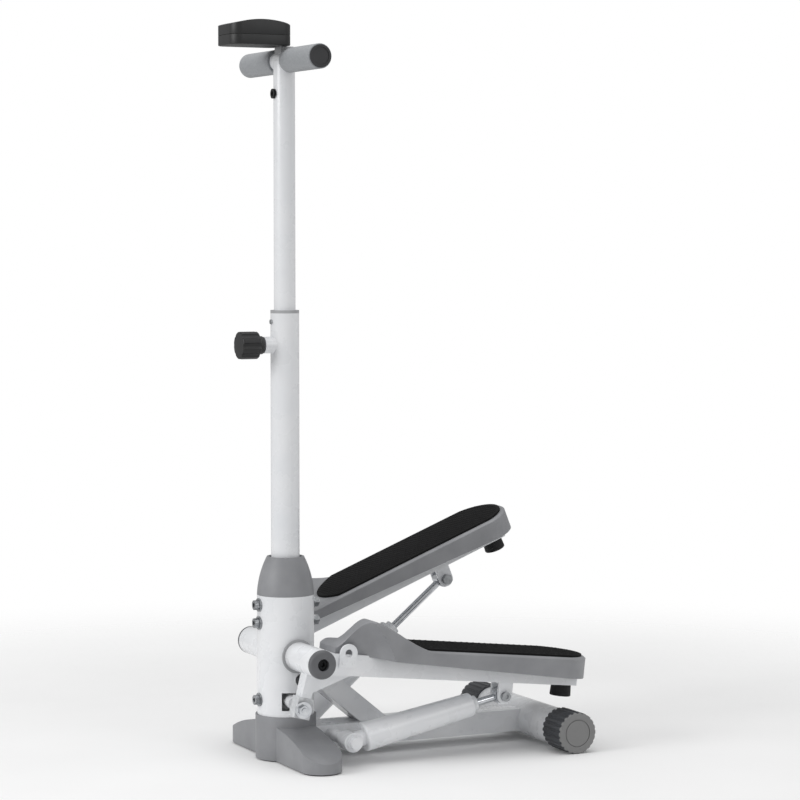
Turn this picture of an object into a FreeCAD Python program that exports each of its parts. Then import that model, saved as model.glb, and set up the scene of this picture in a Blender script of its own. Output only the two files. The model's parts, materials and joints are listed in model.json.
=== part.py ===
"""Mini stair stepper with a telescoping handle mast, as a parametric FreeCAD document.

The frame: +Z up, floor at z = 0, +X to the user's left, the pedals reach towards +Y and the
column stands at the -Y end.  Lengths are millimetres and angles are degrees.  Pedal pieces are
drawn about the pivot axis (x across, y along the arm, z up from it) and then tilted to rest.
Damper pieces are drawn along +Y and then raised to the line from lower eye to clevis pin.
"""
import FreeCAD, Part
import Sketcher
import os
import re

SIZES = {
    # Column and foot
    "column_y": (-159.2, "column axis, from the middle of the whole length"),
    "column_radius": (38.1, "column tube, outer radius"),
    "column_wall": (2.5, "column tube, wall"),
    "column_bottom": (8.0, "height of the column's lower end"),
    "column_top": (219.5, "height of the column's upper end"),
    "column_port": (8.0, "side port in the column, radius"),
    "column_port_y": (6.0, "side port, distance behind the column's axis"),
    "column_port_z": (109.0, "height of the side port"),
    "foot_reach": (145.0, "foot cover, middle to tip"),
    "foot_half_width": (27.0, "foot cover, half the width of a wing"),
    "foot_ridge": (47.0, "foot cover, height where the wings meet the sleeve"),
    "foot_shoulder": (88.0, "foot cover, distance from the middle to the arched top's middle point"),
    "foot_shoulder_z": (37.0, "foot cover, height of the arched top's middle point"),
    "foot_tip_z": (15.0, "foot cover, height of the tip's upright wall"),
    "foot_sleeve_z": (60.0, "foot cover, height of the sleeve round the column"),
    "foot_sleeve_wall": (2.5, "foot cover, wall of the sleeve"),
    "foot_wall": (3.0, "foot cover, wall"),
    "foot_gap": (1.5, "foot cover, gap to the floor"),
    "pad_height": (9.0, "rubber foot pad, height"),
    # Base
    "beam_half_width": (25.0, "base beam, half its width"),
    "beam_low": (13.0, "base beam, height of its underside"),
    "beam_height": (30.0, "base beam, height of its section"),
    "beam_wall": (2.5, "base beam and brace, wall"),
    "beam_root": (20.0, "base beam, where its coped end starts behind the column's axis"),
    "brace_half_width": (20.0, "brace, half its width"),
    "brace_depth": (28.0, "brace, depth of its section"),
    "brace_root": (26.1, "brace, where its coped end starts behind the column's axis"),
    "brace_foot": (123.0, "brace, where its middle line meets the beam, behind the column's axis"),
    "brace_slope": (39.5, "brace, slope to the floor"),
    "bar_y": (362.6, "rear bar, distance behind the column's axis"),
    "bar_radius": (25.0, "rear bar, outer radius"),
    "bar_wall": (2.5, "rear bar, wall"),
    "bar_reach": (140.0, "rear bar, middle to the end of the tube"),
    "cap_radius": (28.0, "rear cap, radius over the ribs"),
    "cap_reach": (150.0, "rear cap, middle to its face"),
    "cap_depth": (48.0, "rear cap, length"),
    "cap_floor": (4.0, "rear cap, thickness of its face"),
    "cap_rib_count": (22, "rear cap, number of ribs"),
    "cap_groove": (2.2, "rear cap, radius of the groove between two ribs"),
    "cap_groove_out": (0.6, "rear cap, how far outside its edge a groove's axis lies"),
    "cap_ring": (18.0, "rear cap, radius of the ring line on its face"),
    "ring_half": (0.6, "rear cap, half the width of the ring line"),
    "ring_depth": (1.0, "rear cap, depth of the ring line"),
    # Mast
    "mast_radius": (19.05, "lower mast, outer radius"),
    "mast_wall": (2.0, "lower mast, wall"),
    "mast_bottom": (172.0, "height of the lower mast's lower end"),
    "mast_top": (594.0, "height of the lower mast's upper end"),
    "post_radius": (14.3, "upper mast, outer radius"),
    "post_wall": (1.6, "upper mast, wall"),
    "post_bottom": (362.0, "height of the upper mast's lower end"),
    "bush_lip": (4.0, "guide bush, height of its lip"),
    "bush_depth": (30.0, "guide bush, depth inside the lower mast"),
    "slide_gap": (0.15, "clearance of the upper mast in its guide bush"),
    "bush_screw_z": (582.6, "height of the guide bush screw"),
    "collar_height": (51.0, "cone collar, height over the column"),
    "collar_waist": (34.0, "cone collar, radius at the middle of its arched side"),
    "collar_waist_z": (27.0, "cone collar, height of the middle of its arched side"),
    "collar_radius": (24.8, "cone collar, radius at the top"),
    "collar_well": (8.0, "cone collar, depth of the recess round the lower mast"),
    "collar_lip": (2.5, "cone collar, thickness of the lip round the recess"),
    "mast_bolt_low": (183.0, "height of the lower mast bolt"),
    "mast_bolt_high": (207.0, "height of the upper mast bolt"),
    "bolt_radius": (4.0, "M8 bolt, shank radius"),
    "bolt_head": (6.5, "M8 bolt, head radius"),
    "bolt_head_height": (6.0, "M8 bolt, head height"),
    "bolt_socket": (3.4, "M8 bolt, radius over the corners of its socket"),
    "flange_radius": (9.0, "M8 bolt and nut, radius of the flange"),
    "flange_thick": (1.6, "M8 bolt and nut, thickness of the flange"),
    "nut_radius": (7.4, "M8 nut, radius over the corners"),
    "nut_height": (6.5, "M8 nut, height"),
    "dome_wide": (0.6, "round cap nut, how much wider than a nut it is"),
    "dome_high": (2.0, "round cap nut, how much taller than a nut it is"),
    "small_head": (3.2, "small screw, head radius"),
    "small_head_height": (1.8, "small screw, head height"),
    # Handle and monitor
    "handle_z": (926.0, "height of the handlebar's axis"),
    "handle_radius": (12.7, "handlebar, outer radius"),
    "handle_wall": (1.6, "handlebar, wall"),
    "handle_reach": (117.0, "handlebar, middle to the end of the tube"),
    "handle_screw_z": (883.0, "height of the screw below the handlebar"),
    "handle_socket": (1.5, "screw below the handlebar, depth of its socket"),
    "grip_radius": (16.2, "foam grip, radius"),
    "grip_start": (19.0, "foam grip, distance from the middle to its inner end"),
    "grip_reach": (118.5, "foam grip, distance from the middle to its outer end"),
    "grip_edge": (1.5, "foam grip, rounding of its ends"),
    "plug_lip": (1.6, "grip plug, thickness of its rim"),
    "plug_inset": (1.5, "grip plug, distance of its rim inside the grip's edge"),
    "plug_depth": (12.0, "grip plug, depth of its stem in the handlebar"),
    "plug_rim": (1.0, "grip plug, width of the land round its recess"),
    "plug_dish": (1.0, "grip plug, depth of its recess"),
    "monitor_half_width": (32.0, "monitor, half its width"),
    "monitor_length": (85.0, "monitor, length"),
    "monitor_corner": (14.0, "monitor, radius of its corners"),
    "monitor_low": (944.6, "height of the monitor's underside"),
    "monitor_seam": (13.5, "monitor, height of the lower shell"),
    "monitor_side": (26.0, "monitor, height at its front and rear ends"),
    "monitor_crown": (33.0, "monitor, height at the middle of its arched top"),
    "monitor_wall": (2.0, "monitor, wall"),
    "lens_half_width": (23.0, "monitor lens, half its width"),
    "lens_half_length": (17.0, "monitor lens, half its length"),
    "lens_thick": (1.2, "monitor lens, thickness"),
    "lens_back": (50.0, "monitor lens, distance of its middle from the mast's axis"),
    "button_radius": (4.5, "monitor button, radius"),
    "button_back": (17.0, "monitor button, distance from the mast's axis"),
    "button_proud": (2.0, "monitor button, height over the monitor's top"),
    "button_flange": (6.0, "monitor button, radius of the flange under the case"),
    "button_flange_thick": (1.2, "monitor button, thickness of its flange"),
    "button_drop": (3.4, "monitor button, depth of its flange's underside below the case's inner face"),
    "button_play": (0.3, "monitor button, clearance"),
    "neck_half_width": (11.0, "monitor bracket, half its width"),
    "neck_back": (9.0, "monitor bracket, half its length"),
    # Lock
    "lock_z": (552.0, "height of the lock knob's axis"),
    "boss_radius": (11.0, "lock boss, radius"),
    "boss_reach": (31.0, "lock boss, distance from the mast's axis to its face"),
    "spindle_radius": (5.0, "lock spindle, radius"),
    "spindle_gap": (0.4, "lock spindle, gap to the upper mast"),
    "knob_radius": (18.5, "lock knob, radius over the lobes"),
    "knob_lobes": (8, "lock knob, number of lobes"),
    "knob_scoop": (5.0, "lock knob, radius of the scoop between two lobes"),
    "knob_scoop_depth": (2.6, "lock knob, depth of a scoop"),
    "knob_neck": (12.0, "lock knob, radius of the neck"),
    "knob_neck_reach": (33.5, "lock knob, distance from the mast's axis to the neck"),
    "knob_head_reach": (40.0, "lock knob, distance from the mast's axis to the head"),
    "knob_face_reach": (66.0, "lock knob, distance from the mast's axis to the face"),
    "knob_edge": (2.5, "lock knob, rounding of its edges"),
    "run_gap": (0.05, "running clearance of pins and shafts, on the radius"),
    # Pedal pivot
    "pivot_z": (141.5, "height of the pedals' pivot axis"),
    "axle_radius": (10.0, "pivot axle, radius"),
    "sleeve_radius": (16.5, "axle sleeve through the column, radius"),
    "hub_radius": (19.0, "pedal hub, outer radius"),
    "hub_wall": (2.5, "pedal hub, wall"),
    "hub_start": (43.0, "pedal hub, distance from the middle to its inner end"),
    "hub_reach": (119.0, "pedal hub, distance from the middle to its outer end"),
    "bush_length": (16.0, "pivot bush, length"),
    "shim_radius": (22.5, "shim between column and hub, radius"),
    "shim_thick": (2.0, "shim between column and hub, thickness"),
    "side_gap": (0.4, "side clearance of moving pieces"),
    "hub_cap_reach": (126.0, "hub cap, distance from the middle to its face"),
    "hub_cap_edge": (4.0, "hub cap, rounding of its face"),
    "hub_cap_bore": (8.0, "hub cap, radius of its bolt well"),
    "hub_cap_well": (20.0, "hub cap, length of the bolt well's bore"),
    "hub_cap_root": (5.0, "hub cap, how far inside the hub its bore starts"),
    # Pedals
    "left_tilt": (-6.2, "left pedal, tilt at rest"),
    "right_tilt": (22.0, "right pedal, tilt at rest"),
    "pedal_x": (87.0, "pedal arm, damper and lever plane, distance from the middle"),
    "plate_inner": (58.0, "footplate, arm's middle to the inner side"),
    "plate_outer": (50.0, "footplate, arm's middle to the outer side"),
    "plate_nose": (361.0, "footplate, distance from the pivot to where the rear rounding starts"),
    "plate_end": (403.0, "footplate, distance from the pivot to its rear end"),
    "plate_toe": (27.0, "footplate, distance from the pivot to its front end"),
    "plate_corner": (24.0, "footplate, radius of the inner front corner"),
    "flare_start": (11.0, "footplate, arm's middle to where the outer flare starts"),
    "flare_middle": (20.0, "footplate, arm's middle to the flare's middle point"),
    "flare_along": (73.0, "footplate, distance from the pivot to the flare's middle point"),
    "flare_end": (98.0, "footplate, distance from the pivot to the flare's end"),
    "deck_top": (26.0, "footplate, height of the deck over the pivot axis"),
    "deck_thick": (4.0, "footplate, thickness of the deck"),
    "skirt_wall": (3.0, "footplate, wall of the skirt"),
    "skirt_front": (13.0, "footplate, height of the skirt's lower edge at the front"),
    "skirt_rear": (-4.0, "footplate, height of the skirt's lower edge at the rear"),
    "toe_lip": (23.0, "toe guard, height of its front lip"),
    "toe_shoulder": (53.0, "toe guard, height where its peak starts to round"),
    "toe_peak": (61.0, "toe guard, height of its peak over the pivot axis"),
    "toe_fore": (50.0, "toe guard, distance from the pivot to the peak's front shoulder"),
    "toe_middle": (65.0, "toe guard, distance from the pivot to its peak"),
    "toe_aft": (83.0, "toe guard, distance from the pivot to the peak's rear shoulder"),
    "toe_end": (147.0, "toe guard, distance from the pivot to where it meets the deck"),
    "toe_ridge": (14.0, "toe guard, arm's middle to the inner edge of its ridge"),
    "toe_foot": (-34.0, "toe guard, arm's middle to the inner foot of its slope"),
    "mat_inset": (6.0, "rubber mat, distance from the footplate's edge"),
    "mat_thick": (3.0, "rubber mat, thickness"),
    "mat_inner": (112.0, "rubber mat, distance from the pivot to its front edge, inner side"),
    "mat_middle": (100.0, "rubber mat, distance from the pivot to its front edge, middle"),
    "mat_outer": (146.0, "rubber mat, distance from the pivot to its front edge, outer side"),
    "post_boss": (7.0, "footplate, radius of the bosses that stand on the arm"),
    "boss_front": (162.0, "footplate, distance from the pivot to the front boss"),
    "boss_rear": (330.0, "footplate, distance from the pivot to the rear boss"),
    "arm_half_width": (20.0, "pedal arm, half its width"),
    "arm_low": (-15.0, "pedal arm, underside from the pivot axis"),
    "arm_high": (13.0, "pedal arm, top from the pivot axis"),
    "arm_end": (388.0, "pedal arm, distance from the pivot to its rear end"),
    "arm_wall": (2.0, "pedal arm, wall"),
    "stopper_along": (375.0, "rubber stopper, distance from the pivot"),
    "stopper_radius": (14.5, "rubber stopper, radius"),
    "stopper_height": (16.5, "rubber stopper, height"),
    "stopper_edge": (1.5, "rubber stopper, rounding of its lower edge"),
    "hook_along": (42.0, "band hook, distance from the pivot to its middle"),
    "hook_half_width": (12.3, "band hook, half its width"),
    "hook_low": (-4.0, "band hook, height of its lower edge"),
    "hook_rise": (15.0, "band hook, height of the middle of its rounded top"),
    "hook_thick": (3.0, "band hook, thickness of its plate"),
    "hook_hole": (5.2, "band hook, half the width of its hole"),
    "rivet_radius": (1.8, "band hook rivet, radius"),
    "rivet_head": (1.2, "band hook rivet, height of its head"),
    "rivet_up": (2.0, "band hook rivet, height"),
    # Damper
    "clevis_along": (284.0, "clevis pin, distance from the pivot along the arm"),
    "clevis_up": (-34.5, "clevis pin, height over the pivot axis"),
    "ear_half_width": (10.5, "clevis ear, half its width"),
    "ear_thick": (4.0, "clevis ear, thickness"),
    "ear_half_gap": (8.2, "clevis, half the gap between the ears"),
    "eye_back": (55.0, "damper's lower eye, distance behind the column's axis"),
    "eye_z": (31.5, "height of the damper's lower eye"),
    "eye_radius": (13.0, "damper's lower eye, radius"),
    "eye_half_width": (12.0, "damper's lower eye, half its width"),
    "stub_radius": (8.2, "damper axle tube through the beam, radius"),
    "pin_radius": (6.0, "damper axle, radius"),
    "tube_start": (19.0, "damper tube, distance from the eye to its lower end"),
    "tube_low": (19.5, "damper tube, radius at the lower end"),
    "tube_high": (16.0, "damper tube, radius at the upper end"),
    "tube_bore": (11.5, "damper tube, bore radius"),
    "tube_floor": (28.0, "damper tube, distance from the eye to the bottom of the bore"),
    "tube_reach": (182.0, "damper tube, distance from the eye to its upper end"),
    "tube_edge": (3.0, "damper tube, rounding of its ends"),
    "neck_radius": (11.0, "damper tube, radius of the neck at the eye"),
    "gland_depth": (14.0, "damper gland, depth in the tube"),
    "gland_lip": (6.0, "damper gland, height of its lip"),
    "gland_radius": (10.5, "damper gland, radius of its lip"),
    "rod_radius": (5.0, "damper rod, radius"),
    "rod_length": (150.0, "damper rod, clevis pin to the piston's end"),
    "piston_length": (12.0, "damper piston, length"),
    "rod_eye": (11.8, "damper rod eye, radius"),
    "rod_eye_bore": (7.9, "damper rod eye, bore radius, open enough for the linkage"),
    "rod_eye_half": (7.0, "damper rod eye, half its width"),
    # Rocker
    "rocker_z": (80.3, "height of the rocker's axis"),
    "rocker_radius": (9.0, "rocker bar, radius"),
    "rocker_reach": (54.0, "rocker bar, middle to its end"),
    "rocker_boss": (15.0, "rocker boss, radius"),
    "rocker_boss_half": (13.0, "rocker boss, half its height"),
    "rocker_pin": (6.0, "rocker pin, radius"),
    "rocker_rest": (-10.0, "rocker, turn at rest"),
    "rocker_swing": (14.0, "rocker, turn that the column's windows allow each way"),
    "window_gap": (1.0, "column window, clearance round the rocker bar"),
    "bracket_half": (16.0, "rocker bracket, half its width"),
    "bracket_thick": (3.5, "rocker bracket, thickness"),
    "stud_radius": (4.0, "rocker stud, radius"),
    "stud_start": (34.0, "rocker stud, distance from the middle to its inner end"),
    "stud_washer": (11.0, "rocker stud, radius of its washer"),
    "stud_proud": (2.0, "rocker stud, length that stands out of its nut"),
    "stud_play": (5.2, "rocker stud, gap between knuckle and washer when square"),
    "lever_along": (-8.7, "lever tip, distance along the arm from the pivot"),
    "lever_up": (-61.9, "lever tip, height over the pivot axis"),
    "lever_half": (10.0, "lever, half its width"),
    "lever_thick": (14.0, "lever, thickness"),
    "gusset_along": (60.0, "gusset, distance from the pivot to its rear corner"),
    "gusset_thick": (5.0, "gusset, thickness"),
    "knuckle_along": (11.0, "knuckle, half its width along the arm"),
    "knuckle_rise": (14.0, "knuckle, half its height"),
    "knuckle_half": (10.0, "knuckle, half its width across the arm"),
    "knuckle_bore": (7.8, "knuckle, bore radius, open enough for the linkage"),
}

# shorter than any edge of the model, in millimetres
TINY = 0.01

doc = FreeCAD.newDocument("stair_stepper")
sheet = doc.addObject("Spreadsheet::Sheet", "Sizes")
for row, (alias, (number, note)) in enumerate(SIZES.items(), 1):
    sheet.set(f"A{row}", note)
    sheet.set(f"B{row}", str(number))
    sheet.setAlias(f"B{row}", alias)
doc.recompute()

ALIAS = re.compile(r"\b(" + "|".join(SIZES) + r")\b")
AXES = {
    "x": FreeCAD.Rotation(FreeCAD.Vector(0, 1, 0), 90),
    "y": FreeCAD.Rotation(FreeCAD.Vector(1, 0, 0), -90),
    "z": FreeCAD.Rotation(),
}
nodes = {}


def tie(text):
    """Point the size names in an expression at the sheet."""
    return ALIAS.sub(r"Sizes.\1", str(text))


def number(text):
    """The present value of an expression."""
    found = sheet.evalExpression(tie(text))
    return float(getattr(found, "Value", found))


def bind(thing, **expressions):
    """Bind properties to expressions in the sheet's size names."""
    for name, text in expressions.items():
        thing.setExpression(name.replace("__", "."), tie(text))
    return thing


def put(thing, x="0", y="0", z="0"):
    """Bind where a piece stands."""
    return bind(thing, Placement__Base__x=x, Placement__Base__y=y, Placement__Base__z=z)


def cylinder(radius, length, axis="z", x="0", y="0", z="0"):
    """A cylinder from (x, y, z) along an axis."""
    thing = doc.addObject("Part::Cylinder", "Cylinder")
    bind(thing, Radius=radius, Height=length)
    thing.Placement = FreeCAD.Placement(FreeCAD.Vector(), AXES[axis])
    return put(thing, x, y, z)


def cone(radius_low, radius_high, length, axis="z", x="0", y="0", z="0"):
    """A truncated cone from (x, y, z) along an axis."""
    thing = doc.addObject("Part::Cone", "Cone")
    bind(thing, Radius1=radius_low, Radius2=radius_high, Height=length)
    thing.Placement = FreeCAD.Placement(FreeCAD.Vector(), AXES[axis])
    return put(thing, x, y, z)


def hexagon(radius, length, axis="y", x="0", y="0", z="0"):
    """A hexagonal prism, as a nut's body."""
    thing = doc.addObject("Part::Prism", "Prism")
    thing.Polygon = 6
    bind(thing, Circumradius=radius, Height=length)
    thing.Placement = FreeCAD.Placement(FreeCAD.Vector(), AXES[axis])
    return put(thing, x, y, z)


def block(x_low, x_high, y_low, y_high, z_low, z_high):
    """A box between two corners."""
    thing = doc.addObject("Part::Box", "Box")
    bind(
        thing,
        Length=f"({x_high}) - ({x_low})",
        Width=f"({y_high}) - ({y_low})",
        Height=f"({z_high}) - ({z_low})",
    )
    return put(thing, x_low, y_low, z_low)


def fuse(*pieces):
    thing = doc.addObject("Part::MultiFuse", "Fuse")
    thing.Shapes = list(pieces)
    return thing


def common(*pieces):
    thing = doc.addObject("Part::MultiCommon", "Common")
    thing.Shapes = list(pieces)
    return thing


def cut(base, *tools):
    """Take the tools away from the base."""
    thing = doc.addObject("Part::Cut", "Cut")
    thing.Base = base
    thing.Tool = tools[0] if len(tools) == 1 else fuse(*tools)
    return thing


def group(*pieces):
    """Several separate solids, kept together as one sub-part."""
    thing = doc.addObject("Part::Compound", "Group")
    thing.Links = list(pieces)
    return thing


def mirrored(piece):
    """The same piece on the other side of the middle plane."""
    thing = doc.addObject("Part::Mirroring", "Mirror")
    thing.Source = piece
    thing.Normal = FreeCAD.Vector(1, 0, 0)
    thing.Base = FreeCAD.Vector()
    return thing


def both_sides(piece):
    return group(piece, mirrored(piece))


def rounded(piece, radius, choose):
    """Round the edges that a test picks, as fillets of one radius."""
    doc.recompute()
    edges = [n + 1 for n, edge in enumerate(piece.Shape.Edges) if choose(edge)]
    thing = doc.addObject("Part::Fillet", "Fillet")
    thing.Base = piece
    thing.Edges = [(n, number(radius), number(radius)) for n in edges]
    return thing


def node(name, piece):
    """Keep a piece as a sub-part of the object."""
    piece.Label = name
    nodes[name] = piece
    return piece


def origin_plane(body, role):
    return next(f for f in body.Origin.OriginFeatures if f.Role == role)


def sketched(role, outline):
    """A body and a sketch of a closed outline on one of the body's planes.

    The outline is a list of corners, each (across, up) as expressions.  A corner with a third
    entry is the middle point of an arc between its neighbours.
    """
    body = doc.addObject("PartDesign::Body", "Body")
    sketch = body.newObject("Sketcher::SketchObject", "Sketch")
    sketch.AttachmentSupport = [(origin_plane(body, role), "")]
    sketch.MapMode = "FlatFace"
    spots = [FreeCAD.Vector(number(c[0]), number(c[1]), 0) for c in outline]
    ends = [n for n, c in enumerate(outline) if len(c) == 2]
    edges = []
    for place, start in enumerate(ends):
        stop = ends[(place + 1) % len(ends)]
        if (start + 1) % len(outline) == stop:
            edge = sketch.addGeometry(Part.LineSegment(spots[start], spots[stop]), False)
            first = 1
        else:
            middle = spots[start + 1]
            edge = sketch.addGeometry(Part.Arc(spots[start], middle, spots[stop]), False)
            clockwise = (middle - spots[start]).cross(spots[stop] - middle).z < 0
            first = 2 if clockwise else 1
        edges.append((edge, first, 3 - first, start, stop))
    return body, sketch, edges


def outline_body(role, outline):
    """Close and dimension a sketched outline, every size bound to the sheet."""
    body, sketch, edges = sketched(role, outline)
    for place, (edge, first, last, start, stop) in enumerate(edges):
        following = edges[(place + 1) % len(edges)]
        sketch.addConstraint(Sketcher.Constraint("Coincident", edge, last, following[0], following[1]))
    for edge, first, last, start, stop in edges:
        for kind, text in zip(("DistanceX", "DistanceY"), outline[start][:2]):
            index = sketch.addConstraint(Sketcher.Constraint(kind, -1, 1, edge, first, number(text)))
            sketch.setExpression(f"Constraints[{index}]", tie(text))
        if (start + 1) % len(outline) != stop:
            middle = [number(v) for v in outline[start + 1][:2]]
            point = sketch.addGeometry(Part.Point(FreeCAD.Vector(*middle, 0)), True)
            sketch.addConstraint(Sketcher.Constraint("PointOnObject", point, 1, edge))
            for kind, text in zip(("DistanceX", "DistanceY"), outline[start + 1][:2]):
                index = sketch.addConstraint(Sketcher.Constraint(kind, -1, 1, point, 1, number(text)))
                sketch.setExpression(f"Constraints[{index}]", tie(text))
    return body, sketch


def padded(role, outline, length, middle=True):
    """A prism of an outline, centred on its plane unless told otherwise."""
    body, sketch = outline_body(role, outline)
    pad = body.newObject("PartDesign::Pad", "Pad")
    pad.Profile = sketch
    bind(pad, Length=length)
    if middle:
        pad.SideType = "Symmetric"
    return body


def turned(role, outline, axis):
    """An outline turned once round an axis of its sketch."""
    body, sketch = outline_body(role, outline)
    turn = body.newObject("PartDesign::Revolution", "Revolution")
    turn.Profile = sketch
    turn.ReferenceAxis = (sketch, [axis])
    turn.Angle = 360
    return body


def bolt(length, x="0", y="0", z="0"):
    """A flanged socket bolt whose shank runs towards +Y from the flange's seat at (x, y, z)."""
    head = cylinder("bolt_head", "bolt_head_height", "y", x, f"{y} - flange_thick - bolt_head_height", z)
    flange = cylinder("flange_radius", "flange_thick", "y", x, f"{y} - flange_thick", z)
    shank = cylinder("bolt_radius", length, "y", x, y, z)
    socket_y = f"{y} - flange_thick - bolt_head_height"
    socket = hexagon("bolt_socket", "bolt_head_height / 2", "y", x, socket_y, z)
    return cut(fuse(head, flange, shank), socket)


def nut(x="0", y="0", z="0"):
    """A flanged nut that sits on (x, y, z) and stands towards +Y."""
    flange = cylinder("flange_radius", "flange_thick", "y", x, y, z)
    body = hexagon("nut_radius", "nut_height", "y", x, f"{y} + flange_thick", z)
    bore = cylinder("bolt_radius", "nut_height + flange_thick", "y", x, y, z)
    return cut(fuse(flange, body), bore)


# ---------------------------------------------------------------- foot and column


def foot_block(inset):
    """The foot cover's outer form, or with an inset the room inside it."""
    half = f"(foot_half_width - {inset})"
    reach = f"(foot_reach - {inset})"
    low = "foot_gap" if inset == "0" else "0"
    side = padded(
        "XZ_Plane",
        [
            (f"-{reach}", low),
            (f"{reach}", low),
            (f"{reach}", f"foot_tip_z - {inset}"),
            ("foot_shoulder", f"foot_shoulder_z - {inset}", "arc"),
            ("0", f"foot_ridge - {inset}"),
            ("-foot_shoulder", f"foot_shoulder_z - {inset}", "arc"),
            (f"-{reach}", f"foot_tip_z - {inset}"),
        ],
        f"2 * {half}",
    )
    centre = "(foot_reach - foot_half_width)"
    tips = [cylinder(half, "foot_ridge", x=sign + centre) for sign in ("", "-")]
    plan = fuse(block(f"-{centre}", centre, f"-{half}", half, "0", "foot_ridge"), *tips)
    return common(side, plan)


def front_foot_cover():
    sleeve = cylinder(
        "column_radius + foot_sleeve_wall", "foot_sleeve_z - foot_gap", z="foot_gap"
    )
    room = foot_block("foot_wall")
    bore = cylinder("column_radius", "foot_sleeve_z", z="foot_gap")
    beam = block("-beam_half_width", "beam_half_width", "0", "2 * column_radius", "beam_low",
                 "beam_low + beam_height")
    return put(cut(fuse(foot_block("0"), sleeve), room, bore, beam), y="column_y")


def foot_pads():
    centre = "foot_reach - foot_half_width"
    pad = cylinder("foot_half_width - foot_wall", "pad_height", x=centre)
    return put(both_sides(pad), y="column_y")


def column_tube():
    """The column with the axle sleeve welded through it."""
    height = "column_top - column_bottom"
    outer = cylinder("column_radius", height, z="column_bottom")
    inner = cylinder("column_radius - column_wall", height, z="column_bottom")
    reach = "(hub_start - side_gap - shim_thick)"
    sleeve = cylinder("sleeve_radius", f"2 * {reach}", "x", f"-{reach}", z="pivot_z")
    bore = cylinder("axle_radius", f"2 * {reach}", "x", f"-{reach}", z="pivot_z")
    half_y = "(column_radius * tan(rocker_swing) + rocker_radius + window_gap)"
    half_z = "(rocker_radius + window_gap + 2)"
    window = block(
        "-column_radius",
        "column_radius",
        f"-{half_y}",
        half_y,
        f"rocker_z - {half_z}",
        f"rocker_z + {half_z}",
    )
    port = cylinder("column_port", "column_radius", "x", y="column_port_y", z="column_port_z")
    holes = [
        cylinder("bolt_radius", "2 * column_radius", "y", y="-column_radius", z=height)
        for height in ("mast_bolt_low", "mast_bolt_high")
    ]
    front = cylinder("bolt_radius", "column_radius", "y", y="-column_radius", z="rocker_z")
    shell = cut(outer, inner, window, port, front, *holes)
    return put(cut(fuse(shell, sleeve), bore), y="column_y")


def column_collar():
    """A cone collar that closes the column and holds the lower mast in its middle."""
    profile = [
        ("mast_radius", "mast_bottom - column_top"),
        ("column_radius - column_wall", "mast_bottom - column_top"),
        ("column_radius - column_wall", "0"),
        ("column_radius", "0"),
        ("collar_waist", "collar_waist_z", "arc"),
        ("collar_radius", "collar_height"),
        ("collar_radius - collar_lip", "collar_height"),
        ("collar_radius - collar_lip", "collar_height - collar_well"),
        ("mast_radius", "collar_height - collar_well"),
    ]
    holes = [
        cylinder("bolt_radius", "2 * column_radius", "y", y="-column_radius", z=f"{height} - column_top")
        for height in ("mast_bolt_low", "mast_bolt_high")
    ]
    return put(cut(turned("XZ_Plane", profile, "V_Axis"), *holes), y="column_y", z="column_top")


def mast_bolts():
    """Two flanged bolts through column, collar and lower mast, each with its nut."""
    heights = ("mast_bolt_low", "mast_bolt_high")
    bolts = [
        bolt("2 * column_radius + flange_thick + nut_height + 2", y="-column_radius", z=height)
        for height in heights
    ]
    nuts = [nut(y="column_radius", z=height) for height in heights]
    return put(group(*bolts, *nuts), y="column_y")


# ---------------------------------------------------------------- base


def main_beam():
    """The base beam, coped to column and rear bar, with the damper axle tube through it."""
    wall = "beam_wall"
    high = "beam_low + beam_height"
    outer = block("-beam_half_width", "beam_half_width", "beam_root", "bar_y", "beam_low", high)
    inner = block(
        f"-beam_half_width + {wall}",
        f"beam_half_width - {wall}",
        "beam_root",
        "bar_y",
        f"beam_low + {wall}",
        f"{high} - {wall}",
    )
    column = cylinder("column_radius", "column_top")
    bar = cylinder("bar_radius", "2 * bar_reach", "x", "-bar_reach", "bar_y", "cap_radius")
    reach = "(pedal_x - eye_half_width - side_gap)"
    stub = cylinder("stub_radius", f"2 * {reach}", "x", f"-{reach}", "eye_back", "eye_z")
    bore = cylinder("pin_radius", f"2 * {reach}", "x", f"-{reach}", "eye_back", "eye_z")
    tube = cut(outer, inner, column, bar)
    return put(cut(fuse(tube, stub), bore), y="column_y")


def brace_prism(inset):
    """The brace's slanting form in the middle plane, or with an inset the room inside it."""
    start = "brace_root"
    half = f"((brace_depth / 2 - {inset}) / sin(brace_slope))"
    base = "beam_low + beam_height"
    outline = [
        (f"brace_foot + {half}", base),
        (start, f"{base} + (brace_foot + {half} - {start}) * tan(brace_slope)"),
        (start, f"{base} + (brace_foot - {half} - {start}) * tan(brace_slope)"),
        (f"brace_foot - {half}", base),
    ]
    return padded("YZ_Plane", outline, f"2 * (brace_half_width - {inset})")


def beam_brace():
    column = cylinder("column_radius", "column_top")
    return put(cut(brace_prism("0"), brace_prism("beam_wall"), column), y="column_y")


def rear_crossbar():
    outer = cylinder("bar_radius", "2 * bar_reach", "x", "-bar_reach")
    inner = cylinder("bar_radius - bar_wall", "2 * bar_reach", "x", "-bar_reach")
    return put(cut(outer, inner), y="column_y + bar_y", z="cap_radius")


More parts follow.
